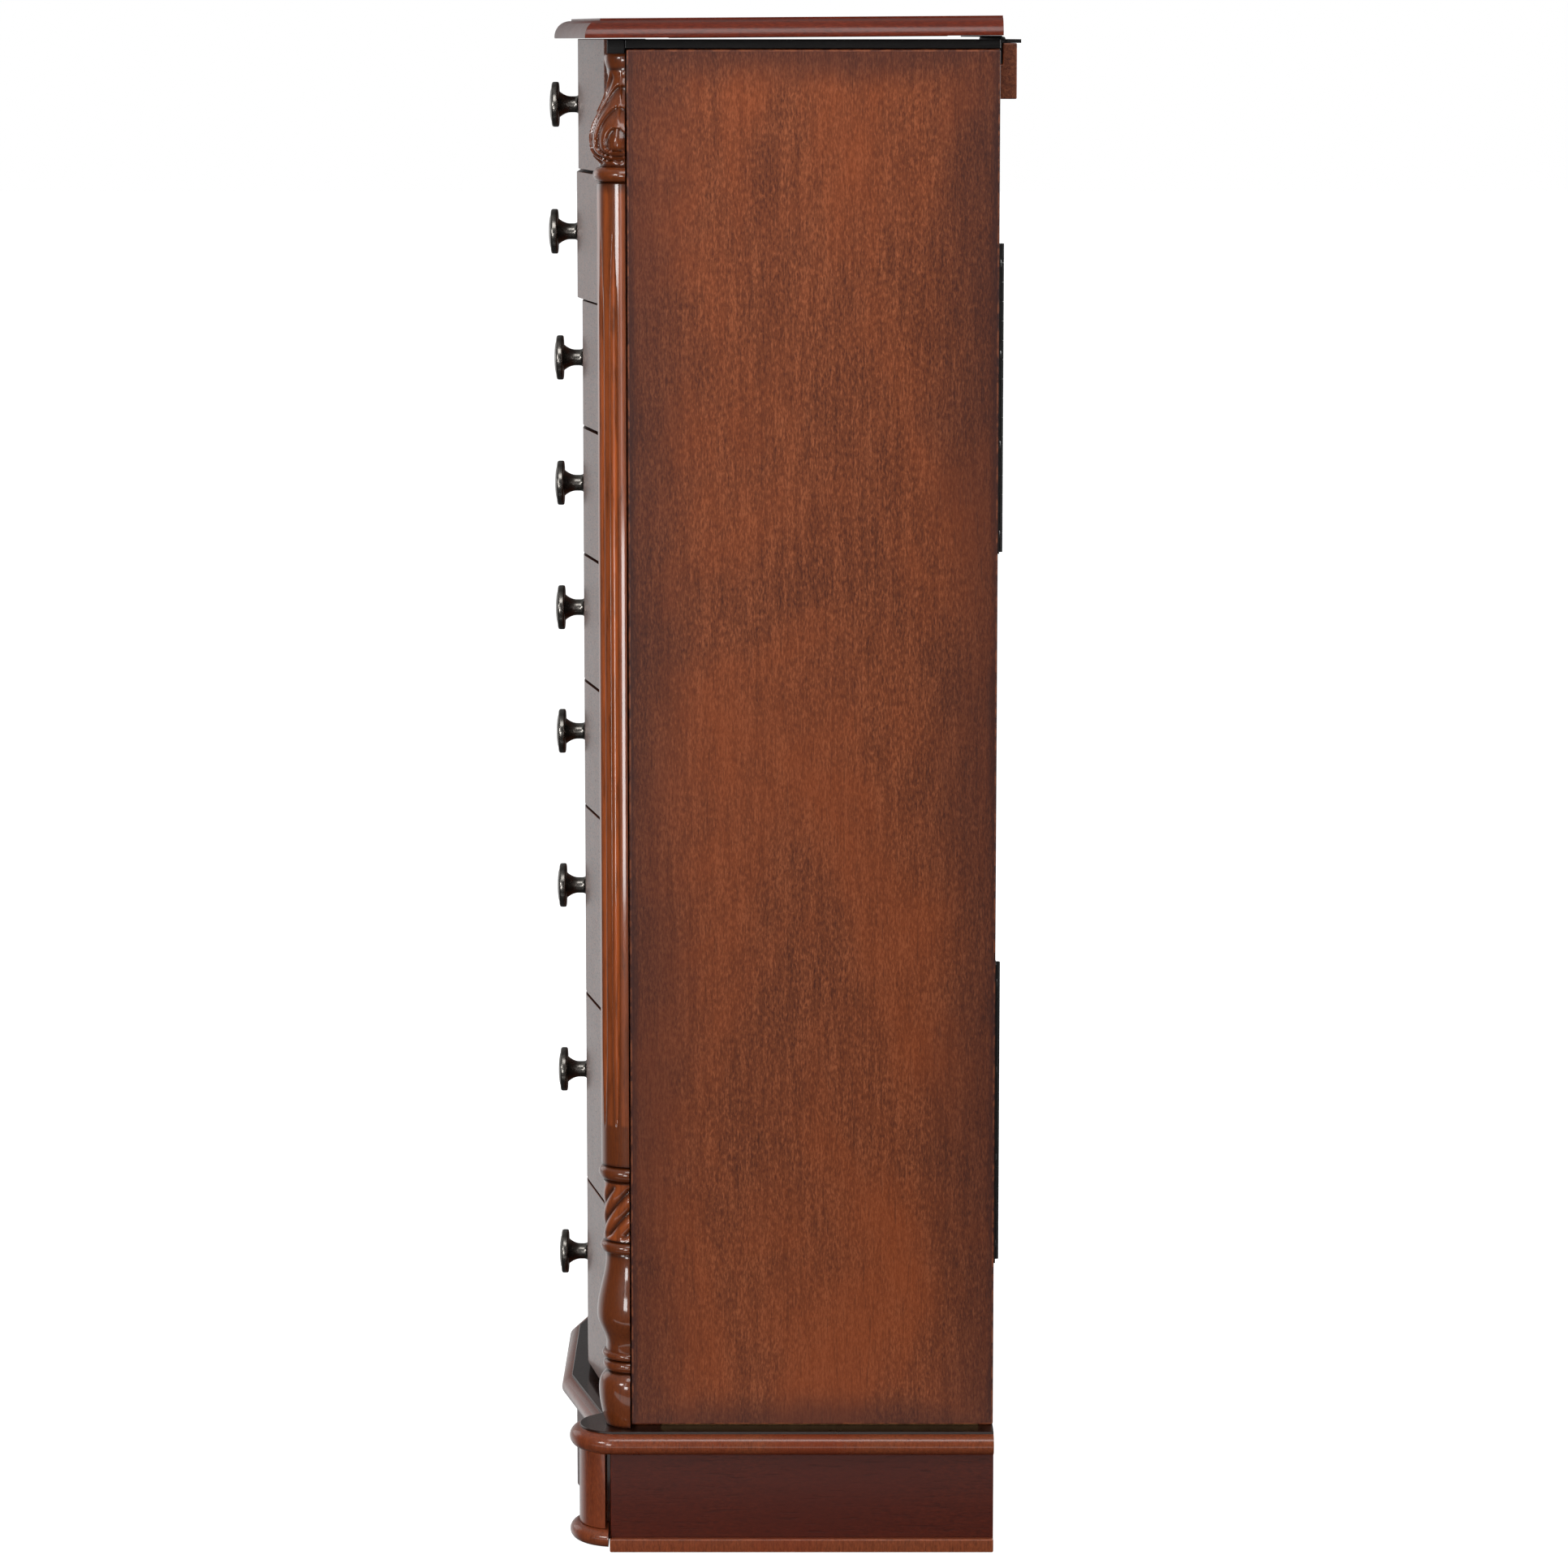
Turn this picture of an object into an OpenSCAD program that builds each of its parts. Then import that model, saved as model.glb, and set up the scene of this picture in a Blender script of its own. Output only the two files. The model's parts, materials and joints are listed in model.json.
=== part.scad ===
// Standing jewellery chest on a plinth. A lift-up lid covers a ring tray behind a false front,
// eight drawers run under it, and a swing door on each side covers a necklace bay.
// Lengths are in millimetres. The origin is the middle of the footprint, on the floor.
// The front faces -Y and +Z is up.

/* [Overall] */
// Width over the lid and over the plinth moulding
width = 450; // [440:1:480]
// Depth from the most forward knob to the back of the lid stop
depth = 318.8; // [312:0.2:330]
// Height of the lowest front's bottom edge above the floor
fronts_z = 88; // [88:1:96]

/* [Drawers] */
// Height taken by each shallow front, gap included
pitch = 87.6; // [80:0.2:96]
// Height taken by each of the three deep fronts, gap included
deep_pitch = 132.4; // [120:0.2:140]
// Width of the drawer fronts
front_w = 330; // [320:1:334]
// Gap between one front and the next
front_gap = 2; // [1:0.5:3]
// How far the false front stands out beyond the closed drawers
false_front_proud = 2.2; // [0:0.1:3]
// How far the top drawer is left open at rest
top_drawer_ajar = 3.3; // [0:0.1:4]
// Thickness of a drawer's sides and back
board_t = 7; // [5:0.5:8]

/* [Knobs] */
// Diameter of a knob's head
knob_d = 31; // [28:1:34]
// How far a knob stands out of its front
knob_out = 21.7; // [20:0.1:24]
// Diameter of a knob's stem
knob_stem_d = 11.1; // [9:0.1:12]
// Diameter of the round plate behind a knob
backplate_d = 32.4; // [30:0.2:36]

/* [Doors] */
// Thickness of the side doors
door_t = 15; // [12:0.5:16]
// Length of each of the four door hinges
door_hinge_l = 203.2; // [190.5:12.7:215.9]
// Height of the upper door hinge's bottom end
upper_hinge_z = 676; // [640:1:700]
// Height of the lower door hinge's bottom end
lower_hinge_z = 198; // [180:1:240]

/* [Lid] */
// Thickness of the lid
lid_t = 12.8; // [12:0.1:16]
// Angle at which the closed lid rises towards the back
lid_tilt = 0.4; // [0.2:0.1:0.5]

/* [Plinth] */
// Height of the plinth without its top moulding
plinth_h = 67; // [60:1:70]
// Radius of the two turrets at the front corners
turret_r = 25.6; // [24:0.1:27]
// Radius of the rounded lobe and of the foot ring on each turret
lobe_r = 32; // [31:0.5:33]

/* [Hidden] */
$fn = 48;
glue = 0.1;          // joint left between two boards of one node

// Front to back
front_y = -depth / 2 + top_drawer_ajar + knob_out;   // flat of the closed drawers' fronts
back_y = front_y + 279;                              // back of the case
front_edge_y = front_y + 21.7;                       // fronts at their outer ends
front_back_y = front_y + 38.2;                       // back plane of the fronts
case_front_y = front_back_y + 0.5;                   // front edges of the partitions and rails
post_y = front_y + 34.8;                             // front face of the corner posts
post_d = 20;
back_t = 9;
bay_back_y = back_y - back_t;

// Side to side, on the +X side
post_x0 = 168;
case_x = 201;                                        // outer face of posts and back panel
door_x = case_x + 1;                                 // inner face of the doors
side_x0 = 160;                                       // inner face of the partitions
side_t = 8;

// Heights
n_drawers = 8;
n_deep = 3;
n_shallow = n_drawers - n_deep;
false_front_z = fronts_z + n_deep * deep_pitch + n_shallow * pitch;
fronts_top_z = false_front_z + pitch;
frame_top_z = fronts_top_z + 0.8;                    // top of the dark frame under the lid
frame_t = 5.8;
frame_z = frame_top_z - frame_t;
moulding_h = 13.6;
moulding_step = 1.6;
plinth_top_z = plinth_h + moulding_h + moulding_step;
door_z0 = plinth_top_z + 5;
door_z1 = frame_z - 0.6;
rail_t = 8;

// Corner columns
column_x = 193;
column_y = post_y + 0.4;

// Drawers
box_w = 2 * side_x0 - 6;
box_l = 214;
bottom_t = 4;
screw_r = 2;
knob_base_t = 1.2;

// Door hinges
hinge_r = 1.75;
pin_r = 0.8;
pin_fit = 0.05;
leaf_t = 0.8;
leaf_w = 12;
knuckle_l = 12.7;
knuckle_gap = 0.2;
door_pivot_y = back_y + hinge_r + 0.1;

// Lid, its hinge and its stop
batten_x = 188;
batten_t = 11.9;
batten_z0 = false_front_z + 49.7;
lid_hinge_x = 184.15;                                // half of 29 knuckles
lid_hinge_r = 1.6;
lid_pivot_y = back_y + 2.9;
lid_pivot_z = frame_top_z + 0.3;
lid_z = lid_pivot_z + 2.4;                           // underside of the lid over its pivot
lid_back_y = back_y + 1.6;
lid_corner_y = front_y + 9.4;                        // front end of the lid's sides
lid_front_y = front_y - 16.6;
lid_front_half = 85;                                 // half of the flat front edge
lid_round = 10.5;
lid_nib = 1;                                         // square edge under the round
stop_y = depth / 2;
stop_z = lid_pivot_z - 0.1;

// Tray compartment under the lid
tray_z = false_front_z + 14;
tray_h = 34;
wall_t = 4;

// Plinth
turret_y = front_y + 25;
panel_x = 217.5;
panel_t = 12;
panel_y0 = turret_y - 3.8;
strip_x = 223;
side_moulding_y = turret_y - 19;
apron_t = 12;
foot_z = 3;                                          // turrets' feet stay this far off the floor
foot_h = 11.6;

// ---- shapes used more than once

// The children and their mirror image on the -X side
module both_sides() {
    children();
    mirror([1, 0, 0]) children();
}

// A box from its lowest and its highest corner
module span(low, high) {
    translate(low) cube(high - low);
}

// Bottom of the front in place i, where 0 is the false front and 1 to 8 are the drawers
function place_z(i) = i > n_shallow
    ? fronts_z + (n_drawers - i) * deep_pitch
    : fronts_z + n_deep * deep_pitch + (n_shallow - i) * pitch;
function place_h(i) = i > n_shallow ? deep_pitch : pitch;
function front_mid_z(i) = place_z(i) + place_h(i) / 2;
function ajar(i) = i == 1 ? top_drawer_ajar : 0;

// ---- fronts, knobs and drawers

// Plan of a front: flat in the middle, easing into a straight cant towards each end
flat_half = 50;
ease_r = 80;
ease_steps = 5;
cant = atan((front_edge_y - front_y) / (front_w / 2 - flat_half - 10));
function ease_side(s, proud) = [for (k = [0:ease_steps])
    let (a = cant * k / ease_steps)
    [s * (flat_half + ease_r * sin(a)), front_y - proud + ease_r * (1 - cos(a))]];
function reversed(list) = [for (k = [len(list) - 1:-1:0]) list[k]];

module front_plan(proud = 0) {
    polygon(concat(
        [[-front_w / 2, front_back_y], [-front_w / 2, front_edge_y - proud]],
        reversed(ease_side(-1, proud)),
        ease_side(1, proud),
        [[front_w / 2, front_edge_y - proud], [front_w / 2, front_back_y]]));
}

// A shaped front with its knob's screw hole
module shaped_front(i, proud = 0, taller = 0) {
    difference() {
        translate([0, 0, place_z(i) + front_gap / 2])
            linear_extrude(place_h(i) - front_gap + taller) front_plan(proud);
        translate([0, front_back_y + 1, front_mid_z(i)])
            rotate([90, 0, 0]) cylinder(r = screw_r + 0.25, h = front_back_y - front_y + proud + 2);
    }
}

// Turned outline of a knob, from the front's face outwards
head_t = 5;
boss = 1.5;
flare_l = 8.5;
flare_steps = 8;
function knob_outline() = concat(
    [[0, knob_base_t + 0.1], [knob_stem_d / 2, knob_base_t + 0.1]],
    [for (k = [0:flare_steps])
        let (u = k / flare_steps)
        [knob_stem_d / 2 + 3.7 * pow(u, 2), knob_out - boss - head_t - flare_l * (1 - u)]],
    [[knob_d / 2 - 0.6, knob_out - boss - head_t + 0.2], [knob_d / 2, knob_out - boss - head_t + 1],
     [knob_d / 2 - 0.2, knob_out - boss - 0.6], [knob_d / 2 - 1, knob_out - boss]],
    [for (k = [1:5]) [(knob_d / 2 - 2) * cos(90 * k / 5), knob_out - boss + boss * sin(90 * k / 5)]]);

// Knob, its round backplate and the machine screw that comes through from behind
thread_depth = 10;
module knob_set(i, proud = 0) {
    translate([0, front_y - proud, front_mid_z(i)]) rotate([90, 0, 0]) {
        difference() {
            rotate_extrude() polygon(knob_outline());
            cylinder(r = screw_r + 0.05, h = thread_depth);
        }
        difference() {
            cylinder(d = backplate_d, h = knob_base_t);
            translate([0, 0, -1]) cylinder(r = screw_r + 0.25, h = knob_base_t + 2);
        }
    }
    translate([0, front_back_y + glue, front_mid_z(i)]) rotate([90, 0, 0]) {
        cylinder(r = screw_r, h = front_back_y - front_y + proud + thread_depth - 1);
        translate([0, 0, -2.4]) cylinder(r = 4, h = 2.4);
    }
}

// The false front stands up to just under the closed lid
lid_clear = 0.35;
module false_front() {
    under_lid_z = lid_z - (lid_pivot_y - front_y + false_front_proud) * tan(lid_tilt);
    color("saddlebrown")
        shaped_front(0, false_front_proud, under_lid_z - lid_clear - (fronts_top_z - front_gap / 2));
}

module false_front_knob() {
    color("dimgray") knob_set(0, false_front_proud);
}

module drawer_front(i) {
    color("saddlebrown") translate([0, -ajar(i), 0]) shaped_front(i);
}

module drawer_knob(i) {
    color("dimgray") translate([0, -ajar(i), 0]) knob_set(i);
}

// Two sides, a back and a bottom, fixed to the back of the front
module drawer_box(i) {
    z0 = place_z(i) + rail_t / 2 + 0.5;
    z1 = place_z(i) + place_h(i) - rail_t / 2 - 2;
    y0 = front_back_y + glue;
    color("tan") translate([0, -ajar(i), 0]) {
        both_sides() span([box_w / 2 - board_t, y0, z0], [box_w / 2, y0 + box_l, z1]);
        span([-box_w / 2 + board_t + glue, y0 + box_l - board_t, z0],
             [box_w / 2 - board_t - glue, y0 + box_l, z1]);
        span([-box_w / 2 + board_t + glue, y0, z0],
             [box_w / 2 - board_t - glue, y0 + box_l - board_t - glue, z0 + bottom_t]);
    }
}

// ---- plinth

module plinth_side_panels() {
    color("sienna") both_sides()
        span([panel_x - panel_t, panel_y0, 0], [panel_x, back_y + 0.5, plinth_h]);
}

// Outline of the shaped front, moved back from the moulding's edge by a margin
break_half = 70;
break_cant = 14;
break_y = front_y - 17.6;
apron_set_back = 10.5;
apron_end_x = 166;
function break_line(x, back) =
    break_y + back + max(0, abs(x) - break_half) * tan(break_cant);

module plinth_apron() {
    y_in = apron_set_back + apron_t;
    color("sienna") translate([0, 0, foot_z]) linear_extrude(plinth_h - foot_z) polygon([
        [-apron_end_x, break_line(apron_end_x, apron_set_back)],
        [-break_half, break_line(0, apron_set_back)], [break_half, break_line(0, apron_set_back)],
        [apron_end_x, break_line(apron_end_x, apron_set_back)],
        [apron_end_x, break_line(apron_end_x, y_in)], [break_half, break_line(0, y_in)],
        [-break_half, break_line(0, y_in)], [-apron_end_x, break_line(apron_end_x, y_in)]]);
}

module plinth_back_rail() {
    x = panel_x - panel_t - glue;
    color("sienna") span([-x, back_y - 12, 0], [x, back_y, plinth_h]);
}

// Edge section of the top moulding: a full round under a low step, outer edge at 0
nose_r = moulding_h / 2;
module nose_section(reach) {
    translate([-nose_r, nose_r]) circle(r = nose_r);
    translate([-reach, 0]) square([reach - nose_r, moulding_h + moulding_step]);
}

// A slab whose edge is the section above, running along Y with its outer edge at x = 0
module nose_slab(reach, length) {
    translate([0, length / 2, 0]) rotate([90, 0, 0]) linear_extrude(length) nose_section(reach);
}

module plinth_top_moulding() {
    far = 2 * width;
    color("maroon") translate([0, 0, plinth_h + glue]) {
        // slab over the side panels
        intersection() {
            translate([width / 2, 0, 0]) nose_slab(width, far);
            translate([-width / 2, 0, 0]) mirror([1, 0, 0]) nose_slab(width, far);
            translate([0, side_moulding_y, 0]) rotate([0, 0, -90]) nose_slab(far, far);
            span([-width, -far, -1], [width, back_y + 0.5, moulding_h + moulding_step + 1]);
        }
        // shaped front between the lobes
        intersection() {
            translate([0, break_y, 0]) rotate([0, 0, -90]) nose_slab(break_half + 60, far);
            for_cant(1) nose_slab(far, far);
            for_cant(-1) nose_slab(far, far);
            span([-172, -far, -1], [172, side_moulding_y + 30, moulding_h + moulding_step + 1]);
        }
        // lobes over the turrets
        both_sides() translate([column_x, turret_y, 0]) {
            cylinder(r = lobe_r - nose_r, h = moulding_h + moulding_step);
            rotate_extrude() translate([lobe_r - nose_r, nose_r]) circle(r = nose_r);
        }
    }
}

// Places a slab's edge on the canted line on side s
module for_cant(s) {
    translate([s * break_half, break_y, 0]) rotate([0, 0, -90 + s * break_cant]) children();
}

module plinth_turrets() {
    color("sienna") both_sides() difference() {
        translate([column_x, turret_y, foot_z + foot_h]) cylinder(r = turret_r, h = plinth_h - foot_z - foot_h);
        span([column_x + 8, turret_y - 7.3, 0], [width, back_y, plinth_h + 1]);
        span([0, break_line(apron_end_x, apron_set_back) - 0.2, 0],
             [apron_end_x + 0.5, back_y, plinth_h + 1]);
    }
}

module turret_foot_rings() {
    bead_r = foot_h / 2;
    color("maroon") both_sides() difference() {
        translate([column_x, turret_y, foot_z]) {
            cylinder(r = lobe_r - bead_r, h = foot_h - glue);
            translate([0, 0, bead_r - glue / 2]) rotate_extrude()
                translate([lobe_r - bead_r, 0]) circle(r = bead_r - glue / 2);
        }
        span([column_x + 8, turret_y - 5.2, 0], [width, back_y, plinth_h]);
        span([0, break_line(column_x - lobe_r, apron_set_back) - 0.2, 0],
             [apron_end_x + 0.5, back_y, plinth_h]);
    }
}

module plinth_base_strips() {
    color("maroon") both_sides()
        span([panel_x + glue, panel_y0 - 0.4, 0], [strip_x, back_y + 0.5, 9.2]);
}

// ---- case

module case_bottom() {
    color("peru") difference() {
        span([-case_x, case_front_y + 6, plinth_top_z + 2 * glue],
             [case_x, bay_back_y - glue, fronts_z + 2]);
        both_sides() span([post_x0 - glue, post_y, plinth_h], [width, post_y + post_d + glue, frame_z]);
    }
}

module case_side() {
    color("peru") span([side_x0, case_front_y, fronts_z + 2 + glue],
                       [side_x0 + side_t - glue, bay_back_y - glue, frame_z - glue]);
}

module case_side_right() {
    case_side();
}

module case_side_left() {
    mirror([1, 0, 0]) case_side();
}

module case_back() {
    color("peru") span([-case_x, bay_back_y, plinth_top_z + 2 * glue], [case_x, back_y, frame_z - glue]);
}

module corner_posts() {
    color("saddlebrown") both_sides()
        span([post_x0, post_y, plinth_top_z + 2 * glue], [case_x, post_y + post_d, frame_z - glue]);
}

// Turned column: beads and necks joined by smooth swells, from the plinth up
function swell(z0, r0, z1, r1, n = 6) = [for (k = [0:n - 1])
    let (u = k / n) [r0 + (r1 - r0) * (1 - cos(180 * u)) / 2, z0 + (z1 - z0) * u]];
function bead(z, r, h, n = 6) = [for (k = [0:n])
    let (a = -90 + 180 * k / n) [r - h / 2 + h / 2 * cos(a), z + h / 2 * sin(a)]];

column_top_z = frame_z - 3.6;
shaft_r = 19.9;
column_z = plinth_top_z + 3 * glue;
function column_outline() = concat(
    [[0, column_z], [21, column_z], [21, column_z + 8]],
    bead(column_z + 25.4, 22.4, 20),                        // bun
    [[17, 121]], bead(130, 19.7, 9), [[17, 136.5]],         // ring over the bun
    swell(138, 17, 159, 23.2), swell(159, 23.2, 199, 17.2), // vase
    [[17.2, 201]], bead(206, 20.7, 8),                      // ring under the spiral
    [[18.5, 211], [18.5, 251]], bead(257, 21.6, 10),        // spiral section and its ring
    [[shaft_r, 263], [shaft_r, 918]], bead(924, 22.3, 10),  // shaft and its ring
    swell(930, 20.5, 949, 25.7), swell(949, 25.7, 989, 13.4, 10),
    [[13.4, 992]], swell(993, 13.8, 998, 15), [[15, column_top_z], [0, column_top_z]]);

module column() {
    color("saddlebrown") difference() {
        translate([column_x, column_y, 0]) rotate_extrude() polygon(column_outline());
        span([column_x - 40, post_y - glue, 0], [column_x + 40, post_y + 60, 1100]);
    }
}

module column_right() {
    column();
}

module column_left() {
    mirror([1, 0, 0]) column();
}

// A front rail under each drawer but the lowest, and one under the tray compartment
rail_d = 30;
module drawer_rails() {
    color("peru") for (i = [0:n_drawers - 1])
        span([-side_x0 + glue, case_front_y, place_z(i) - rail_t / 2],
             [side_x0 - glue, case_front_y + rail_d, place_z(i) + rail_t / 2]);
}

runner_w = 12;
module drawer_runners() {
    y0 = case_front_y + rail_d + glue;
    color("peru") both_sides() {
        for (i = [0:n_drawers - 1])
            span([side_x0 - runner_w, y0, place_z(i) - rail_t / 2],
                 [side_x0 - glue, bay_back_y - 2 * glue, place_z(i) + rail_t / 2]);
        span([side_x0 - runner_w, case_front_y + 6, fronts_z + 2 + glue],
             [side_x0 - glue, bay_back_y - 2 * glue, fronts_z + rail_t / 2]);
    }
}

// Four thin rails round the opening under the lid, and a lip over each column
lip_z = column_top_z + 0.3;
frame_x = 216;
module top_frame() {
    y0 = post_y - 11.6;
    color("black") {
        both_sides() {
            span([side_x0, case_front_y, frame_z], [frame_x, back_y, frame_top_z]);
            span([post_x0, y0, lip_z], [frame_x, post_y - glue, frame_top_z]);
            span([post_x0, post_y, frame_z], [frame_x, case_front_y + 1, frame_top_z]);
        }
        span([-side_x0 + glue, bay_back_y, frame_z], [side_x0 - glue, back_y, frame_top_z]);
        span([-side_x0 + glue, case_front_y, frame_z], [side_x0 - glue, case_front_y + 10, frame_top_z]);
    }
}

// Open tray under the lid: floor, rim and dividers, with a wide bay for the ring rolls
tray_x = side_x0 - 2;
tray_y0 = case_front_y + 12;
tray_y1 = bay_back_y - 4;
roll_bay_x = 62;
roll_bay_y = tray_y0 + 104;
module jewellery_tray() {
    z0 = tray_z + wall_t + glue;
    color("maroon") {
        span([-tray_x, tray_y0, tray_z], [tray_x, tray_y1, tray_z + wall_t]);
        both_sides() {
            span([tray_x - wall_t, tray_y0, z0], [tray_x, tray_y1, z0 + tray_h]);
            span([roll_bay_x, tray_y0 + wall_t + glue, z0],
                 [roll_bay_x + wall_t, tray_y1 - wall_t - glue, z0 + tray_h - 3]);
            span([roll_bay_x + wall_t + glue, roll_bay_y, z0],
                 [tray_x - wall_t - glue, roll_bay_y + wall_t, z0 + tray_h - 3]);
        }
        for (y = [tray_y0, tray_y1 - wall_t])
            span([-tray_x + wall_t + glue, y, z0], [tray_x - wall_t - glue, y + wall_t, z0 + tray_h]);
    }
}

// Soft rolls that grip rings between them
n_rolls = 9;
module ring_rolls() {
    y0 = tray_y0 + wall_t + 2;
    step = (tray_y1 - wall_t - 2 - y0) / n_rolls;
    color("ivory") for (k = [0:n_rolls - 1])
        translate([-roll_bay_x + 1.5, y0 + (k + 0.5) * step, tray_z + wall_t + 1 + 0.47 * step])
            rotate([0, 90, 0]) cylinder(r = 0.47 * step, h = 2 * roll_bay_x - 3);
}

// ---- lid stop and hinges

module hinge_batten() {
    color("saddlebrown") difference() {
        span([-batten_x, back_y + glue, batten_z0], [batten_x, back_y + glue + batten_t, frame_top_z - 2.3]);
        // rebate that takes the hinge's upright leaf
        span([-batten_x - 1, back_y - 1, frame_top_z - 16],
             [batten_x + 1, back_y + 2.6, frame_top_z]);
    }
}

// Knuckles of one half of a continuous hinge, along +Z from the origin. Half 0 has every
// even knuckle and half 1 every odd one.
module knuckles(r, count, half) {
    for (k = [half:2:count - 1])
        translate([0, 0, k * knuckle_l + knuckle_gap / 2]) cylinder(r = r, h = knuckle_l - knuckle_gap);
}

// Flat leaf in the XZ plane whose tongues reach in to its own knuckles
module leaf(r, count, half, leaf_reach, y0, y1) {
    inset = r + 0.2;
    span([inset, y0, 0], [leaf_reach, y1, count * knuckle_l]);
    for (k = [half:2:count - 1])
        span([0, y0, k * knuckle_l + knuckle_gap / 2],
             [inset + 0.1, y1, (k + 1) * knuckle_l - knuckle_gap / 2]);
}

door_knuckles = round(door_hinge_l / knuckle_l);
hinge_ends = [lower_hinge_z, upper_hinge_z];

// The case's half holds the pin
module case_leaf() {
    translate([door_x, door_pivot_y, 0]) mirror([1, 0, 0]) {
        leaf(hinge_r, door_knuckles, 0, leaf_w, -hinge_r, -hinge_r + leaf_t);
        knuckles(hinge_r, door_knuckles, 0);
        cylinder(r = pin_r, h = door_knuckles * knuckle_l);
    }
}

module door_leaf() {
    translate([door_x, door_pivot_y, 0]) difference() {
        union() {
            leaf(hinge_r, door_knuckles, 1, leaf_w + 1, -hinge_r, -hinge_r + leaf_t);
            knuckles(hinge_r, door_knuckles, 1);
        }
        translate([0, 0, -1]) cylinder(r = pin_r + pin_fit, h = door_knuckles * knuckle_l + 2);
    }
}

module door_hinge_case_leaves() {
    color("black") both_sides() for (z = hinge_ends) translate([0, 0, z]) case_leaf();
}

module door_hinge_leaves() {
    color("black") for (z = hinge_ends) translate([0, 0, z]) door_leaf();
}

// The lid hinge lies along X, so its knuckles run from the +X end
lid_knuckles = round(2 * lid_hinge_x / knuckle_l);
module along_lid_pivot() {
    translate([-lid_hinge_x, lid_pivot_y, lid_pivot_z]) rotate([0, 90, 0]) children();
}

module lid_hinge_case_leaf() {
    x = lid_hinge_x;
    upright_y0 = lid_pivot_y - 2;
    color("black") {
        along_lid_pivot() {
            knuckles(lid_hinge_r, lid_knuckles, 0);
            cylinder(r = pin_r, h = lid_knuckles * knuckle_l);
        }
        // web from each knuckle down to the bent plate
        for (k = [0:2:lid_knuckles - 1])
            span([-x + k * knuckle_l + knuckle_gap / 2, upright_y0 + 0.4, frame_top_z - 2],
                 [-x + (k + 1) * knuckle_l - knuckle_gap / 2, upright_y0 + 1.6, lid_pivot_z]);
        span([-x, upright_y0, frame_top_z - 15.6], [x, upright_y0 + 1.4, frame_top_z - 1.4]);
        span([-x, upright_y0, frame_top_z - 2.2], [x, stop_y, frame_top_z - 1.4]);
        span([-x, lid_pivot_y + 2.6, frame_top_z - 2.2], [x, stop_y, stop_z]);
    }
}

// ---- lid, built level and then tipped about its pivot

module on_lid() {
    translate([0, lid_pivot_y, lid_pivot_z]) rotate([lid_tilt, 0, 0])
        translate([0, -lid_pivot_y, -lid_pivot_z]) children();
}

// Edge section of the lid: a quarter round on a square nib, under a low step, outer edge at 0
module lid_section(reach) {
    intersection() {
        translate([-lid_round, lid_nib]) circle(r = lid_round);
        translate([-lid_round, lid_nib]) square(lid_round);
    }
    translate([-reach, 0]) square([reach, lid_nib]);
    translate([-reach, 0]) square([reach - lid_round, lid_nib + lid_round]);
    translate([-reach, 0]) square([reach - lid_round - 1, lid_t]);
}

module lid_slab(reach, length) {
    translate([0, length / 2, 0]) rotate([90, 0, 0]) linear_extrude(length) lid_section(reach);
}

module lid_panel() {
    far = 2 * width;
    slant = atan((lid_corner_y - lid_front_y) / (width / 2 - lid_front_half));
    color("maroon") on_lid() translate([0, 0, lid_z]) intersection() {
        translate([width / 2, 0, 0]) lid_slab(width, far);
        translate([-width / 2, 0, 0]) mirror([1, 0, 0]) lid_slab(width, far);
        translate([0, lid_front_y, 0]) rotate([0, 0, -90]) lid_slab(far, far);
        translate([lid_front_half, lid_front_y, 0]) rotate([0, 0, -90 + slant]) lid_slab(far, far);
        translate([-lid_front_half, lid_front_y, 0]) rotate([0, 0, -90 - slant]) lid_slab(far, far);
        span([-width, -far, -1], [width, lid_back_y, lid_t + 1]);
        difference() {
            span([-width, -far, -1], [width, far, lid_t + 1]);
            span([-mirror_x - glue, mirror_y0 - glue, -2],
                 [mirror_x + glue, mirror_y1 + glue, mirror_recess]);
        }
    }
}

// Mirror and frame, let into the underside of the lid
mirror_x = 140;
mirror_y0 = case_front_y + 22;
mirror_y1 = bay_back_y - 22;
mirror_t = 3;
mirror_frame_t = 6;
mirror_proud = 0.3;
mirror_recess = mirror_frame_t - mirror_proud + glue;
module mirror_frame() {
    lip = 12;
    z0 = lid_z - mirror_proud;
    z1 = lid_z + mirror_recess - glue;
    color("sienna") on_lid() {
        both_sides() span([mirror_x - lip, mirror_y0, z0], [mirror_x, mirror_y1, z1]);
        for (y = [mirror_y0, mirror_y1 - lip])
            span([-mirror_x + lip + glue, y, z0], [mirror_x - lip - glue, y + lip, z1]);
    }
}

module lid_mirror() {
    lip = 12 + 2 * glue;
    top = lid_z + mirror_recess - glue;
    color("lightblue") on_lid() span([-mirror_x + lip, mirror_y0 + lip, top - mirror_t],
                                     [mirror_x - lip, mirror_y1 - lip, top]);
}

module lid_hinge_lid_leaf() {
    x = lid_hinge_x;
    top = 2.4 - 0.1;
    color("black") on_lid() difference() {
        union() {
            along_lid_pivot() knuckles(lid_hinge_r, lid_knuckles, 1);
            translate([0, lid_pivot_y, lid_pivot_z]) {
                span([-x, -15, top - leaf_t], [x, -lid_hinge_r - 0.2, top]);
                for (k = [1:2:lid_knuckles - 1])
                    span([-x + k * knuckle_l + knuckle_gap / 2, -lid_hinge_r - 0.3, top - leaf_t - 0.4],
                         [-x + (k + 1) * knuckle_l - knuckle_gap / 2, 0, top]);
            }
        }
        along_lid_pivot() translate([0, 0, -1])
            cylinder(r = pin_r + pin_fit, h = lid_knuckles * knuckle_l + 2);
    }
}

// ---- side doors

module door_panel() {
    color("sienna") span([door_x, post_y + 1, door_z0], [door_x + door_t, back_y, door_z1]);
}

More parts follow.
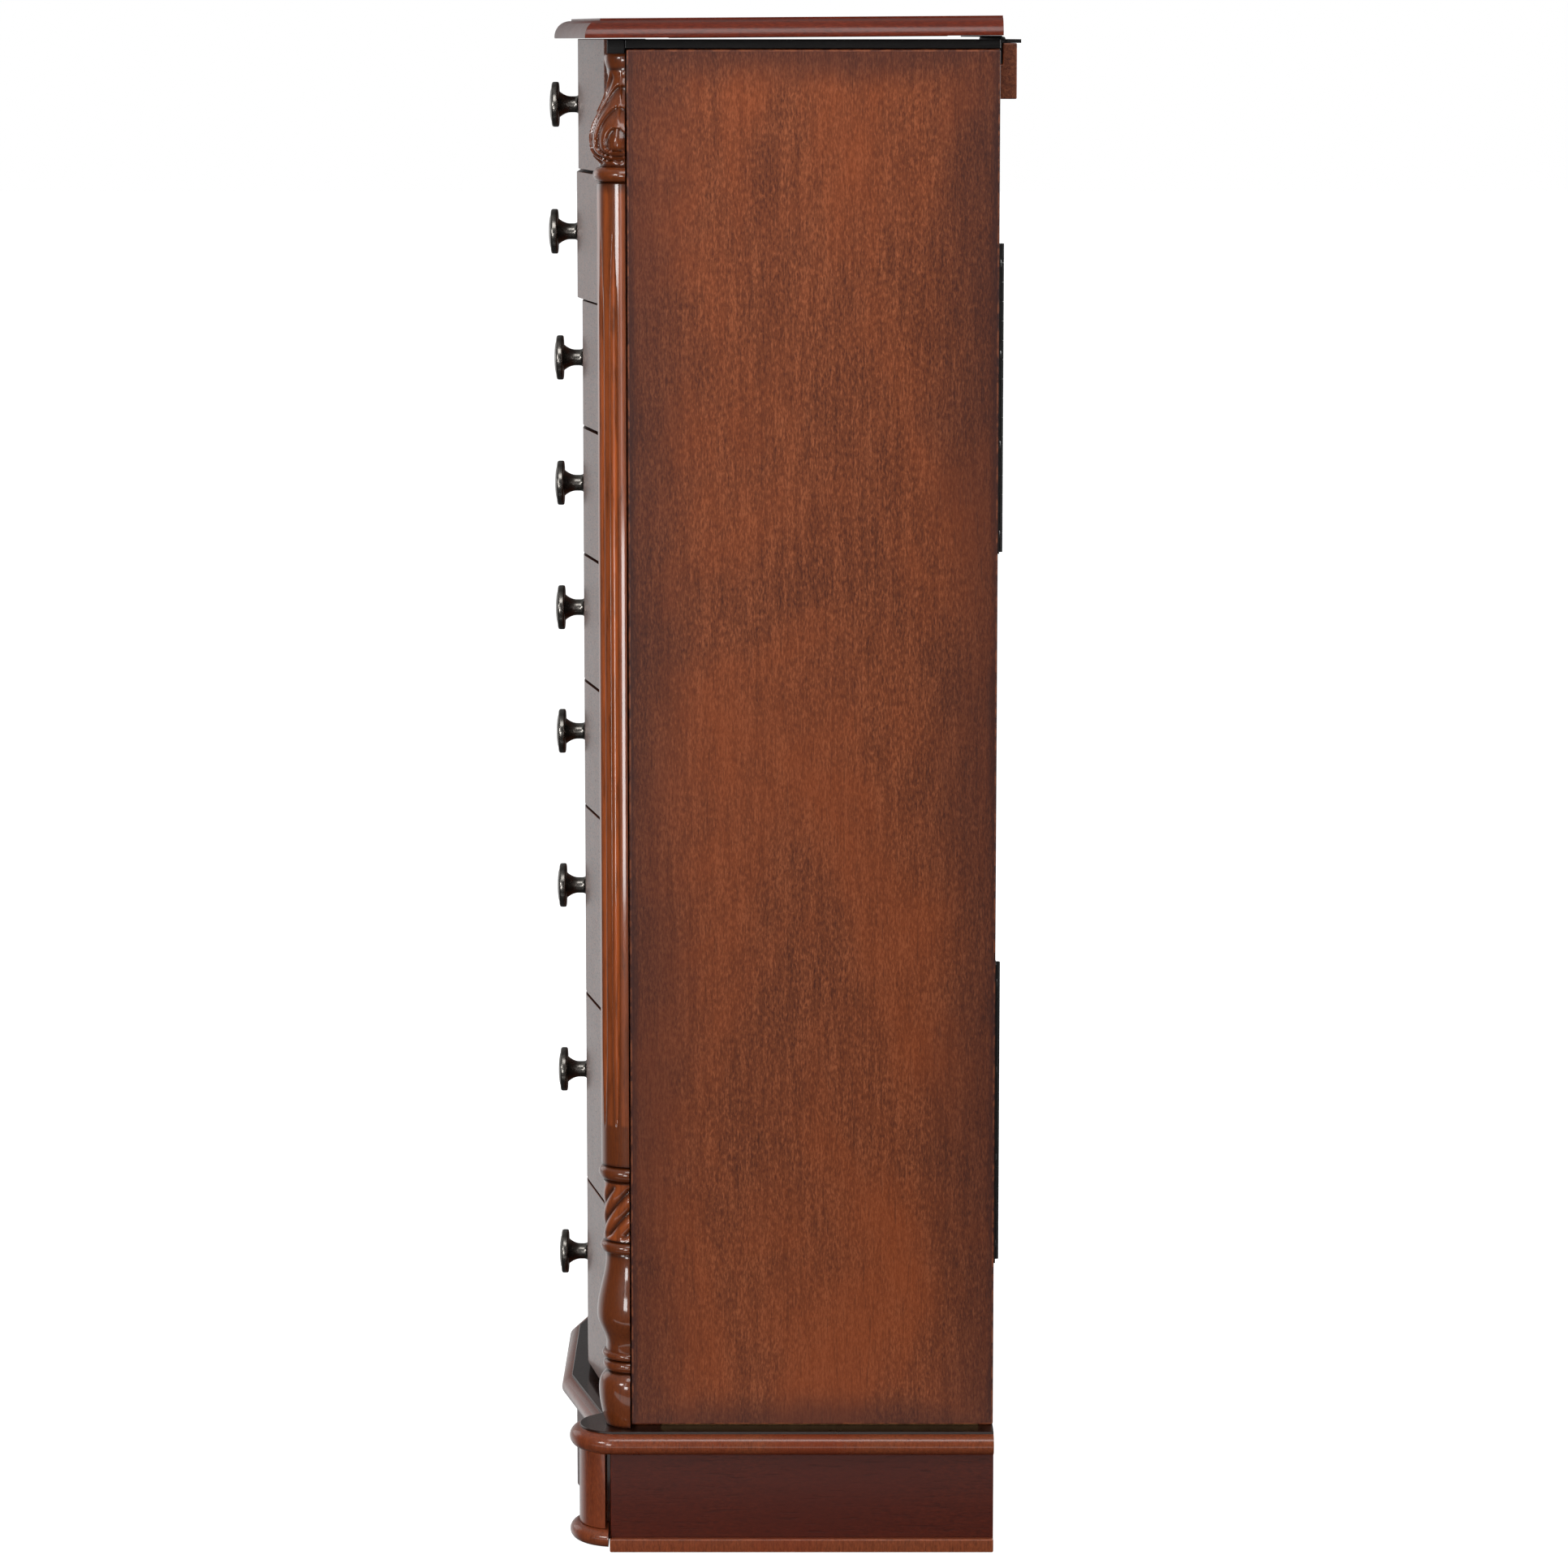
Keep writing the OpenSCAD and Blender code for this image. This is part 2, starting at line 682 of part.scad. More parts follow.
// Wooden rail across the top of the door's inner face, with bent hooks
n_hooks = 7;
rack_z = door_z1 - 62;
module necklace_rack() {
    y0 = post_y + 44;
    y1 = back_y - 36;
    step = (y1 - y0 - 30) / (n_hooks - 1);
    color("peru") span([door_x - 7, y0, rack_z], [door_x - glue, y1, rack_z + 24]);
    color("goldenrod") for (k = [0:n_hooks - 1])
        translate([door_x - 7 - glue, y0 + 15 + k * step, rack_z + 12]) {
            rotate([0, -90, 0]) cylinder(r = 1.2, h = 10);
            translate([-10, 0, 0]) cylinder(r = 1.2, h = 6);
            translate([-10, 0, 0]) sphere(r = 1.2);
        }
}

module door_right_panel() {
    door_panel();
}

module door_right_hinge_leaves() {
    door_hinge_leaves();
}

module door_right_necklace_rack() {
    necklace_rack();
}

module door_left_panel() {
    mirror([1, 0, 0]) door_panel();
}

module door_left_hinge_leaves() {
    mirror([1, 0, 0]) door_hinge_leaves();
}

module door_left_necklace_rack() {
    mirror([1, 0, 0]) necklace_rack();
}

// Two catches for each door, let into the back of the corner posts
module magnet_catches() {
    y0 = post_y + post_d + glue;
    color("white") both_sides() for (z = [door_z0 + 120, door_z1 - 120])
        span([case_x - 14, y0, z], [case_x, y0 + 12, z + 40]);
}

plinth_side_panels();
plinth_apron();
plinth_back_rail();
plinth_top_moulding();
plinth_turrets();
turret_foot_rings();
plinth_base_strips();
case_bottom();
case_side_left();
case_side_right();
case_back();
corner_posts();
column_left();
column_right();
drawer_rails();
drawer_runners();
top_frame();
false_front();
false_front_knob();
jewellery_tray();
ring_rolls();
hinge_batten();
lid_hinge_case_leaf();
door_hinge_case_leaves();
magnet_catches();
lid_panel();
lid_mirror();
mirror_frame();
lid_hinge_lid_leaf();
door_left_panel();
door_left_hinge_leaves();
door_left_necklace_rack();
door_right_panel();
door_right_hinge_leaves();
door_right_necklace_rack();
for (i = [1:n_drawers]) {
    drawer_front(i);
    drawer_box(i);
    drawer_knob(i);
}
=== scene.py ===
"""Standing jewellery chest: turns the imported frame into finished, veneered, turned and lined pieces."""

import json
import math

import bmesh
import bpy
from mathutils import Matrix, Vector

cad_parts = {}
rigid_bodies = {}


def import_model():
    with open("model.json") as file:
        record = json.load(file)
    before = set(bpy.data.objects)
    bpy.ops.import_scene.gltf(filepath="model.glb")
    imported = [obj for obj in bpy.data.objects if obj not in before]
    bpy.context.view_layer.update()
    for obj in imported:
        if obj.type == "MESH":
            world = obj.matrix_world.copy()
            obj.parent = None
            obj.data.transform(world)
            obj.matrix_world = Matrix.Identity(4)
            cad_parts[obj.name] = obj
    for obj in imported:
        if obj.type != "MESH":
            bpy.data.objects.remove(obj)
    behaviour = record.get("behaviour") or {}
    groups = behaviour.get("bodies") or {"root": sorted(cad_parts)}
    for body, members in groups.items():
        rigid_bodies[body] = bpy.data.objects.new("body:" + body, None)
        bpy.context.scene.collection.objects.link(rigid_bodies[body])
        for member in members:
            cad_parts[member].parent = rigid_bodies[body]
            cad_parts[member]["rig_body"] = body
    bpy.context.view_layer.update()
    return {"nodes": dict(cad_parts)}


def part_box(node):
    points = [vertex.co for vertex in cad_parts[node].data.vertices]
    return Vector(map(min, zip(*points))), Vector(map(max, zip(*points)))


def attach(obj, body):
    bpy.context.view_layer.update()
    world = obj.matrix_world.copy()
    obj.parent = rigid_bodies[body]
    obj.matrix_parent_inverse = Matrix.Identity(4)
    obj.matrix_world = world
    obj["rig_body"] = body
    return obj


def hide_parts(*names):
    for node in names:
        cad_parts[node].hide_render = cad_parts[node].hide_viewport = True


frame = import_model()

bl_info = {
    "name": "Jewellery Chest",
    "version": (1, 0, 0),
    "blender": (4, 5, 0),
    "location": "View3D > Sidebar > Chest",
    "description": "Builds a standing jewellery chest with a lift-up lid, side doors and eight drawers",
    "category": "Object",
}

MM = 0.001
X, Y, Z = 0, 1, 2
DRAWERS = range(1, 9)
SIDES = {"left": -1, "right": 1}
FACING_FRONT = Matrix.Rotation(math.radians(90), 4, "X")
FACING_BACK = Matrix.Rotation(math.radians(-90), 4, "X")


def shade(red, green, blue):
    """A screen colour, 0 to 255 a channel, as the linear values that shaders take."""
    channels = [c / 255 for c in (red, green, blue)]
    return tuple(c / 12.92 if c <= 0.04045 else ((c + 0.055) / 1.055) ** 2.4 for c in channels)


def colour_property(name, description, *rgb):
    return bpy.props.FloatVectorProperty(
        name=name, description=description, subtype="COLOR", min=0, max=1, default=shade(*rgb))


def length_property(name, description, millimetres):
    return bpy.props.FloatProperty(
        name=name, description=description, unit="LENGTH", subtype="DISTANCE", min=0,
        precision=5, default=millimetres * MM)


# ---- what a user would change

class ChestSizes(bpy.types.PropertyGroup):
    """Small sizes that the frame leaves to the finish."""

    board_ease: length_property("Board ease", "Radius on the edges of the case boards", 0.9)
    door_ease: length_property("Door ease", "Radius on the edges of the side doors", 1.3)
    front_ease: length_property("Front ease", "Radius on the edges of the drawer fronts", 1.4)
    metal_ease: length_property("Metal ease", "Radius on the edges of the hinges and plates", 0.16)
    flute_depth: length_property("Flute depth", "Depth of the flutes on the columns", 1.7)
    twist_depth: length_property("Twist depth", "Depth of the cuts in the twisted part", 2.7)
    leaf_depth: length_property("Leaf depth", "Depth of the carving on the top bulb", 2.4)
    lining_t: length_property("Lining", "Thickness of the felt lining", 1.4)


class ChestFinishes(bpy.types.PropertyGroup):
    """Colours of the finishes."""

    veneer_dark: colour_property("Veneer, dark", "Dark flecks of the walnut veneer", 84, 40, 24)
    veneer_mid: colour_property("Veneer, middle", "Ground colour of the walnut veneer", 121, 62, 35)
    veneer_light: colour_property("Veneer, light", "Light flecks of the walnut veneer", 160, 90, 56)
    veneer_glow: colour_property("Veneer, warm", "Warm clouds in the walnut veneer", 146, 68, 30)
    # Darker colour towards the door panels' edges: toned lacquer and painted shade.
    edge_tone_and_shade: colour_property("Burnish", "Toned lacquer towards the edges of a panel", 54, 31, 30)
    moulding_dark: colour_property("Moulding, dark", "Dark grain of the mouldings", 72, 23, 13)
    moulding_light: colour_property("Moulding, light", "Light grain of the mouldings", 120, 44, 21)
    # Painted shade in the columns' carved hollows, twist valleys and the grooves beside the beads.
    column_recess_shade: colour_property("Column, dark", "Glaze in the hollows of the columns", 38, 15, 9)
    column_light: colour_property("Column, light", "Turned wood of the columns", 128, 62, 27)
    # Painted highlight on the columns' flutes, the middle of the lands and the twist's crests.
    column_highlight: colour_property("Column, rubbed", "Wood rubbed bright in the flutes", 186, 92, 42)
    turret: colour_property("Turrets", "Wood of the turrets and the plinth's mouldings", 150, 78, 46)
    # Painted shadow on the top ledge of the plinth's moulding, under the doors.
    ledge_shadow: colour_property("Ledge", "Dark glaze left on ledges", 16, 10, 9)
    inside_dark: colour_property("Inside wood, dark", "Dark grain of the drawer boxes", 150, 108, 68)
    inside_light: colour_property("Inside wood, light", "Light grain of the drawer boxes", 196, 156, 108)
    pewter: colour_property("Pewter", "Metal of the knobs", 126, 122, 117)
    # Near-black colour given to the frame under the lid.
    lacquer: colour_property("Lacquer", "Near-black lacquer of the frame under the lid", 13, 11, 11)
    steel: colour_property("Black steel", "Japanned steel of the hinges", 26, 23, 23)
    brass: colour_property("Brass", "Brass of the hooks", 214, 170, 90)
    felt: colour_property("Felt", "Lining of the tray and the drawers", 84, 26, 38)
    velvet: colour_property("Velvet", "Cover of the ring rolls", 104, 34, 48)


class ChestStage(bpy.types.PropertyGroup):
    """Camera and lights."""

    camera_x: length_property("Camera distance", "Distance of the camera from the middle", 3534)
    camera_y: length_property("Camera offset", "Place of the camera along the depth", 3.9)
    camera_z: length_property("Camera height", "Height of the camera", 1013.6)
    tilt: bpy.props.FloatProperty(
        name="Tilt", description="How far the camera looks down", unit="ROTATION",
        default=math.radians(7.70))
    lens: bpy.props.FloatProperty(
        name="Lens", description="Focal length in mm", unit="CAMERA", default=116.3)
    shift: bpy.props.FloatProperty(name="Shift", description="Upright shift of the lens", default=-0.04)


# ---- shader maths

class Value:
    """One output socket. Arithmetic on it adds Math nodes."""

    def __init__(self, nodes, socket):
        self.nodes = nodes
        self.socket = socket

    def maths(self, operation, *values):
        return self.nodes.node("ShaderNodeMath", {"operation": operation}, dict(enumerate(values)))

    def __add__(self, other):
        return self.maths("ADD", self, other)

    def __radd__(self, other):
        return self.maths("ADD", other, self)

    def __sub__(self, other):
        return self.maths("SUBTRACT", self, other)

    def __rsub__(self, other):
        return self.maths("SUBTRACT", other, self)

    def __mul__(self, other):
        return self.maths("MULTIPLY", self, other)

    def __rmul__(self, other):
        return self.maths("MULTIPLY", other, self)

    def __abs__(self):
        return self.maths("ABSOLUTE", self)

    def larger(self, other):
        return self.maths("MAXIMUM", self, other)


class Nodes:
    """Adds nodes to an emptied tree."""

    def __init__(self, tree):
        self.tree = tree
        tree.nodes.clear()

    def end(self, kind, socket):
        """Adds the tree's output node, fed from one socket."""
        self.tree.links.new(socket, self.tree.nodes.new(kind).inputs[0])

    def node(self, kind, settings=None, inputs=None, output=0):
        """Adds a node: its settings first, then its inputs, then hands back one output."""
        made = self.tree.nodes.new(kind)
        for key, value in (settings or {}).items():
            if key == "stops":
                self.fill_ramp(made.color_ramp, value)
            else:
                setattr(made, key, value)
        for key, value in (inputs or {}).items():
            if isinstance(value, Value):
                self.tree.links.new(value.socket, made.inputs[key])
            else:
                made.inputs[key].default_value = value
        return Value(self, made.outputs[output])

    def fill_ramp(self, ramp, stops):
        while len(ramp.elements) < len(stops):
            ramp.elements.new(0.5)
        for element, (position, colour) in zip(ramp.elements, stops):
            element.position = position
            element.color = (*colour, 1)

    def step(self, value, low, high, start=0.0, end=1.0):
        """start below low, end above high, smooth between."""
        return self.node("ShaderNodeMapRange", {"interpolation_type": "SMOOTHSTEP"}, {
            "Value": value, "From Min": low, "From Max": high, "To Min": start, "To Max": end})


class Finish(Nodes):
    """One material: its Principled shader, and methods that add nodes in front of it."""

    def __init__(self, name, constants):
        self.material = bpy.data.materials.new(name)
        self.material.use_nodes = True
        super().__init__(self.material.node_tree)
        self.shader = self.tree.nodes.new("ShaderNodeBsdfPrincipled")
        self.end("ShaderNodeOutputMaterial", self.shader.outputs[0])
        for socket, value in constants.items():
            self.shader.inputs[socket].default_value = value
        self.place = self.node("ShaderNodeTexCoord", output="Object")

    def give(self, socket, value):
        """Feeds one of the sockets that may change over a surface."""
        self.tree.links.new(value.socket, self.shader.inputs[socket])

    def stretched(self, scale):
        return self.node("ShaderNodeVectorMath", {"operation": "MULTIPLY"}, {0: self.place, 1: scale})

    def noise(self, scale, detail=4, roughness=0.55, distortion=0.0, place=None):
        return self.node("ShaderNodeTexNoise", None, {
            "Vector": place or self.place, "Scale": scale, "Detail": detail,
            "Roughness": roughness, "Distortion": distortion})

    def mix(self, factor, a, b):
        a = a if isinstance(a, Value) else (*a, 1)
        b = b if isinstance(b, Value) else (*b, 1)
        return self.node("ShaderNodeMix", {"data_type": "RGBA"}, {0: factor, 6: a, 7: b}, output=2)

    def axis(self, index):
        return self.node("ShaderNodeSeparateXYZ", None, {0: self.place}, output=index)

    def attribute(self, name):
        return self.node("ShaderNodeAttribute", {"attribute_name": name}, output="Fac")

    def bump(self, height, strength, distance):
        self.give("Normal", self.node("ShaderNodeBump", None, {
            "Height": height, "Strength": strength, "Distance": distance}))


def toned(colour, share):
    """A colour darkened or lightened by a share."""
    return tuple(min(1, channel * share) for channel in colour)


def half_way(one, other):
    return tuple((a + b) / 2 for a, b in zip(one, other))


def along(axis, share):
    """Scale that draws a pattern out along one axis."""
    return tuple(share if i == axis else 1.0 for i in range(3))


def wood_grain(finish, axis, fineness=1.0):
    """Short flecks, longer streaks, pores and slow clouds that all run along one axis."""
    flecks = finish.noise(880 * fineness, 2, 0.6, 0.5, finish.stretched(along(axis, 0.3)))
    streaks = finish.noise(260 * fineness, 4, 0.6, 0.3, finish.stretched(along(axis, 0.1)))
    pores = finish.noise(900 * fineness, 1, 0.5, 0.0, finish.stretched(along(axis, 0.06)))
    clouds = finish.noise(8.5 * fineness, 4, 0.6, 0.6, finish.stretched(along(axis, 0.6)))
    return flecks, streaks, finish.step(pores, 0.6, 0.74), clouds


def wood(name, dark, middle, light, axis, fineness=1.0, gloss=0.3, coat=0.5, pore_depth=0.3,
         contrast=1.0, clouded=None, edge_tone_and_shade=None, recess_shade_colour=None, rub_and_highlight=None, sheen=0.4,
         coat_haze=0.08):
    """Clear-lacquered wood. clouded is a second ground colour. The edge pair, (mask maker, colour), paints
    toned lacquer and painted shade towards a panel's edges; the hollow colour paints shade into carved
    hollows and onto ledges, and the highlight colour paints highlights on the columns' flutes, lands and
    twist crests."""
    finish = Finish(name, {"Coat Weight": coat, "Coat Roughness": coat_haze, "Specular IOR Level": sheen})
    flecks, streaks, pores, clouds = wood_grain(finish, axis, fineness)
    tone = 0.5 + (flecks * 0.68 + streaks * 0.32 - 0.5) * contrast + (clouds - 0.5) * 0.2
    colour = finish.node("ShaderNodeValToRGB", {"stops": [(0.32, dark), (0.5, middle), (0.68, light)]},
                         {0: tone})
    if clouded:
        colour = finish.mix(finish.step(clouds, 0.36, 0.74) * 0.6, colour, clouded)
    colour = finish.mix(pores * pore_depth, colour, toned(dark, 0.4))
    # Toned lacquer and painted shade, darker towards the panel's edges.
    if edge_tone_and_shade:
        mask, edge_colour = edge_tone_and_shade
        colour = finish.mix(mask(finish), colour, edge_colour)
    # Painted highlight where the bright attribute is high: the columns' flutes, lands and twist crests.
    if rub_and_highlight:
        colour = finish.mix(finish.attribute("bright") * finish.step(streaks, 0.25, 0.6), colour, rub_and_highlight)
    # Painted shade in carved hollows, in the grooves and on the plinth's ledge.
    if recess_shade_colour:
        colour = finish.mix(finish.attribute("hollow") * 0.92, colour, recess_shade_colour)
    # Eased arrises lightened in patches: wear and a painted highlight.
    edge_wear_and_highlight = finish.attribute("arris") * finish.step(finish.noise(160, 3), 0.4, 0.62)
    colour = finish.mix(edge_wear_and_highlight * 0.3, colour, toned(light, 1.6))
    finish.give("Base Color", colour)
    wear = finish.noise(38, 5, 0.65)
    finish.give("Roughness", gloss + 0.14 * wear + 0.1 * pores)
    finish.bump(flecks * 0.4 + streaks * 0.3 - pores * 0.7 + wear * 0.2, 0.2, 0.0004)
    return finish.material


def edge_mask(low, high, bands):
    """Mask maker for toned lacquer and painted shade at a panel's edges. bands is a list of (axis, reach,
    share): each band is full at the panel's edges and gone further in than its reach, with a wavering line."""
    def mask(finish):
        total = None
        for index, reach, share in bands:
            waver = (finish.noise(11, 3) - 0.5) * (reach * 0.8)
            middle = (low[index] + high[index]) / 2
            half = (high[index] - low[index]) / 2
            off_centre = abs(finish.axis(index) - middle) + waver
            side = finish.step(off_centre, half - reach, half) * share
            total = side if total is None else total.larger(side)
        return total
    return mask


def metal(name, colour, roughness, patina, patina_share, scratch=0.08):
    """Cast or rolled metal with a patina in patches and fine scratches."""
    finish = Finish(name, {"Metallic": 1.0, "Specular IOR Level": 0.5})
    cloud = finish.step(finish.noise(90, 6, 0.7), 0.42, 0.68)
    fine = finish.noise(1400, 2, 0.6, 0.0, finish.stretched(along(X, 0.06)))
    colour = finish.mix(cloud * patina_share, colour, patina)
    # Painted shade, near black, in hollows such as the screws' cross recesses.
    colour = finish.mix(finish.attribute("hollow") * 0.9, colour, toned(patina, 0.12))
    finish.give("Base Color", colour)
    finish.give("Roughness", roughness + 0.22 * cloud + scratch * fine)
    finish.bump(fine * 0.4 + cloud * 0.6, 0.18, 0.0002)
    return finish.material


def japanned_steel(name, colour):
    """Steel under thin black lacquer, rubbed where it turns."""
    finish = Finish(name, {"Metallic": 0.35, "Coat Weight": 0.25, "Coat Roughness": 0.25})
    grain = finish.noise(700, 3, 0.6)
    rub_and_highlight = finish.attribute("arris") * finish.step(finish.noise(240, 3), 0.45, 0.65)
    finish.give("Base Color", finish.mix(rub_and_highlight * 0.5, colour, shade(104, 98, 94)))
    finish.give("Roughness", 0.38 + 0.2 * grain)
    finish.bump(grain, 0.12, 0.0002)
    return finish.material


def cloth_pile(name, colour, lift):
    """Felt or velvet: short matted fibres with a sheen."""
    finish = Finish(name, {"Sheen Weight": 0.6, "Sheen Roughness": 0.4, "Specular IOR Level": 0.15})
    fibres = finish.noise(2600, 3, 0.7)
    matted = finish.noise(120, 5, 0.6)
    tone = fibres * 0.6 + matted * 0.4
    stops = [(0.32, toned(colour, 0.55)), (0.5, colour), (0.7, toned(colour, lift))]
    finish.give("Base Color", finish.node("ShaderNodeValToRGB", {"stops": stops}, {0: tone}))
    finish.give("Roughness", 0.86 + 0.12 * matted)
    finish.bump(fibres * 0.6 + matted * 0.5, 0.5, 0.0004)
    return finish.material


def looking_glass():
    """Silvered mirror with faint cloudiness."""
    finish = Finish("mirror_glass", {"Metallic": 1.0})
    cloud = finish.noise(26, 4, 0.5)
    finish.give("Base Color", finish.mix(cloud * 0.25, shade(236, 240, 240), shade(214, 222, 222)))
    finish.give("Roughness", 0.015 + 0.02 * cloud)
    return finish.material


def dull_plastic(name, colour):
    """Moulded plastic with a fine orange-peel skin."""
    finish = Finish(name, {"Specular IOR Level": 0.45})
    peel = finish.noise(900, 2, 0.5)
    finish.give("Base Color", finish.mix(peel * 0.3, colour, toned(colour, 1.35)))
    finish.give("Roughness", 0.42 + 0.15 * peel)
    finish.bump(peel, 0.15, 0.0002)
    return finish.material


materials = {}


def make_materials(c):
    """Makes each material once, under the name of its finish."""
    low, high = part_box("door_right_panel")
    veneer = (c.veneer_dark, c.veneer_mid, c.veneer_light)
    moulding = (c.moulding_dark, half_way(c.moulding_dark, c.moulding_light), c.moulding_light)
    plain = (c.inside_dark, half_way(c.inside_dark, c.inside_light), c.inside_light)
    # The door panels darken towards their edges: toned lacquer and painted shade.
    door_edges = edge_mask(low, high, ((Y, 0.06, 0.55), (Y, 0.014, 0.85), (Z, 0.03, 0.6)))
    materials.update({
        "door_veneer": wood("door_veneer", *veneer, Z, clouded=c.veneer_glow, edge_tone_and_shade=(door_edges, c.edge_tone_and_shade),
                            coat=0.12, gloss=0.42, contrast=1.3, sheen=0.2, coat_haze=0.26),
        # The fronts take the veneer at 0.62 of its colours: painted shade, as the canted fronts face away
        # from the light.
        "front_wood": wood("front_wood", *(toned(tone, 0.62) for tone in veneer), X, coat=0.45,
                           gloss=0.34, coat_haze=0.12),
        "case_wood": wood("case_wood", *veneer, Z, gloss=0.42, coat=0.15, sheen=0.3, coat_haze=0.3),
        "plinth_wood": wood("plinth_wood", *(toned(tone, 0.6) for tone in moulding), Y, gloss=0.36,
                            coat=0.15, contrast=0.7, clouded=c.moulding_dark, sheen=0.2, coat_haze=0.2),
        "mahogany_moulding": wood("mahogany_moulding", *moulding, Y, gloss=0.24, coat=0.35, pore_depth=0.2,
                                  contrast=0.8, recess_shade_colour=c.ledge_shadow, sheen=0.2, coat_haze=0.16),
        "turret_wood": wood("turret_wood", *(toned(c.turret, share) for share in (0.45, 0.75, 1.05)), Z,
                            gloss=0.22, coat=0.6, pore_depth=0.3, clouded=c.moulding_light, recess_shade_colour=c.ledge_shadow,
                            sheen=0.25),
        "turned_columns": wood("turned_columns", *(toned(c.column_light, share) for share in (0.6, 0.85, 1)),
                               Z, gloss=0.26, coat=0.9, clouded=toned(c.column_light, 0.5),
                               recess_shade_colour=c.column_recess_shade, rub_and_highlight=c.column_highlight, sheen=0.2),
        "batten_wood": wood("batten_wood", *veneer, X, gloss=0.4, coat=0.25),
        "drawer_wood": wood("drawer_wood", *plain, Y, gloss=0.55, coat=0.05),
        "inner_case_wood": wood("inner_case_wood", *plain, Z, gloss=0.55, coat=0.05),
        "rack_wood": wood("rack_wood", *veneer, Y, gloss=0.4, coat=0.3),
        # The frame under the lid is coloured near black.
        "black_lacquer": wood("black_lacquer", *(toned(c.lacquer, share) for share in (0.6, 1, 1.7)), Y,
                              gloss=0.35, coat=0.2, sheen=0.2),
        "pewter": metal("pewter", c.pewter, 0.2, shade(34, 31, 30), 0.65),
        "black_steel": japanned_steel("black_steel", c.steel),
        "brass": metal("brass", c.brass, 0.2, shade(150, 104, 48), 0.45, 0.05),
        "mirror_glass": looking_glass(),
        "tray_lining": cloth_pile("tray_lining", c.felt, 1.7),
        "ring_roll_fabric": cloth_pile("ring_roll_fabric", c.velvet, 2.1),
        "catch_plastic": dull_plastic("catch_plastic", shade(70, 44, 30)),
    })


class CHEST_OT_finishes(bpy.types.Operator):
    """Mix every finish from its colours"""

    bl_idname = "chest.finishes"
    bl_label = "Finishes"

    def execute(self, context):
        make_materials(context.scene.chest_finishes)
        return {"FINISHED"}


# ---- making meshes

def add_piece(name, mesh, material, body, replaced=(), place=None):
    """Puts a finished mesh in the scene as a piece that rides on a body of the frame."""
    piece = bpy.data.objects.new(name, mesh)
    bpy.context.scene.collection.objects.link(piece)
    if place is not None:
        piece.matrix_world = place
    if not mesh.materials:
        mesh.materials.append(materials[material])
    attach(piece, body)
    if replaced:
        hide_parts(*replaced)
    return piece


def set_attribute(mesh, name, domain, values):
    mesh.attributes.new(name, "FLOAT", domain).data.foreach_set("value", values)


def finish_mesh(made, name, arris=(), smooth=math.radians(35)):
    """Turns a bmesh into a mesh with smooth faces, sharp creases and its arrises marked."""
    bmesh.ops.recalc_face_normals(made, faces=made.faces)
    edge_wear_and_highlight = set(arris)
    marks = [1.0 if face in edge_wear_and_highlight else 0.0 for face in made.faces]
    mesh = bpy.data.meshes.new(name)
    made.to_mesh(mesh)
    made.free()
    mesh.polygons.foreach_set("use_smooth", [True] * len(mesh.polygons))
    if smooth:
        mesh.set_sharp_from_angle(angle=smooth)
    set_attribute(mesh, "arris", "FACE", marks)
    return mesh


def ease_edges(made, width, segments=2, over=math.radians(30)):
    """Rounds every edge of a bmesh that turns by more than an angle, and hands back the new faces."""
    sharp = [e for e in made.edges if len(e.link_faces) == 2 and e.calc_face_angle(0) > over]
    result = bmesh.ops.bevel(made, geom=sharp, offset=width, segments=segments, profile=0.5,
                             affect="EDGES", clamp_overlap=True)
    return result["faces"]


def set_weighted_normals(mesh):
    """Lets large faces keep their own normal, so that only the eased edges shade round."""
    totals = [Vector() for _ in mesh.vertices]
    for face in mesh.polygons:
        for index in face.vertices:
            totals[index] += face.normal * face.area
    mesh.normals_split_custom_set_from_vertices([t.normalized() for t in totals])


def eased_node(node, material, width, segments=2):
    """A frame node's own shape with its edges eased, standing for that node."""
    made = bmesh.new()
    made.from_mesh(frame["nodes"][node].data)
    bmesh.ops.remove_doubles(made, verts=made.verts, dist=0.00001)
    bmesh.ops.dissolve_limit(made, angle_limit=math.radians(1), verts=made.verts, edges=made.edges)
    arris = ease_edges(made, width, segments)
    mesh = finish_mesh(made, node + "_finished", arris, smooth=None)
    set_weighted_normals(mesh)
    return add_piece(node + "_finished", mesh, material, frame["nodes"][node]["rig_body"], [node])


def circle(count):
    """Cosine and sine of evenly spaced angles, once round."""
    return [(math.cos(2 * math.pi * k / count), math.sin(2 * math.pi * k / count)) for k in range(count)]


def skin(made, rings, capped=True):
    """Joins neighbouring rings of points with faces. A ring of one point is a pole."""
    for lower, upper in zip(rings, rings[1:]):
        for k in range(max(len(lower), len(upper))):
            turns = ((lower, k), (lower, k + 1), (upper, k + 1), (upper, k))
            corners = dict.fromkeys(ring[i % len(ring)] for ring, i in turns)
            made.faces.new(list(corners))
    if capped:
        made.faces.new(rings[0])
        made.faces.new(rings[-1])


def inset_outline(points, insets):
    """Moves each side of a closed outline inwards by its own distance and meets them again."""
    count = len(points)
    lines = []
    for i, inset in enumerate(insets):
        start, end = Vector(points[i]), Vector(points[(i + 1) % count])
        direction = (end - start).normalized()
        inward = Vector((-direction.y, direction.x))
        lines.append((start + inward * inset, direction))
    corners = []
    for i in range(count):
        (a, u), (b, v) = lines[i - 1], lines[i]
        cross = u.x * v.y - u.y * v.x
        if abs(cross) < 1e-9:
            corners.append(b)
            continue
        share = ((b - a).x * v.y - (b - a).y * v.x) / cross
        corners.append(a + u * share)
    return corners


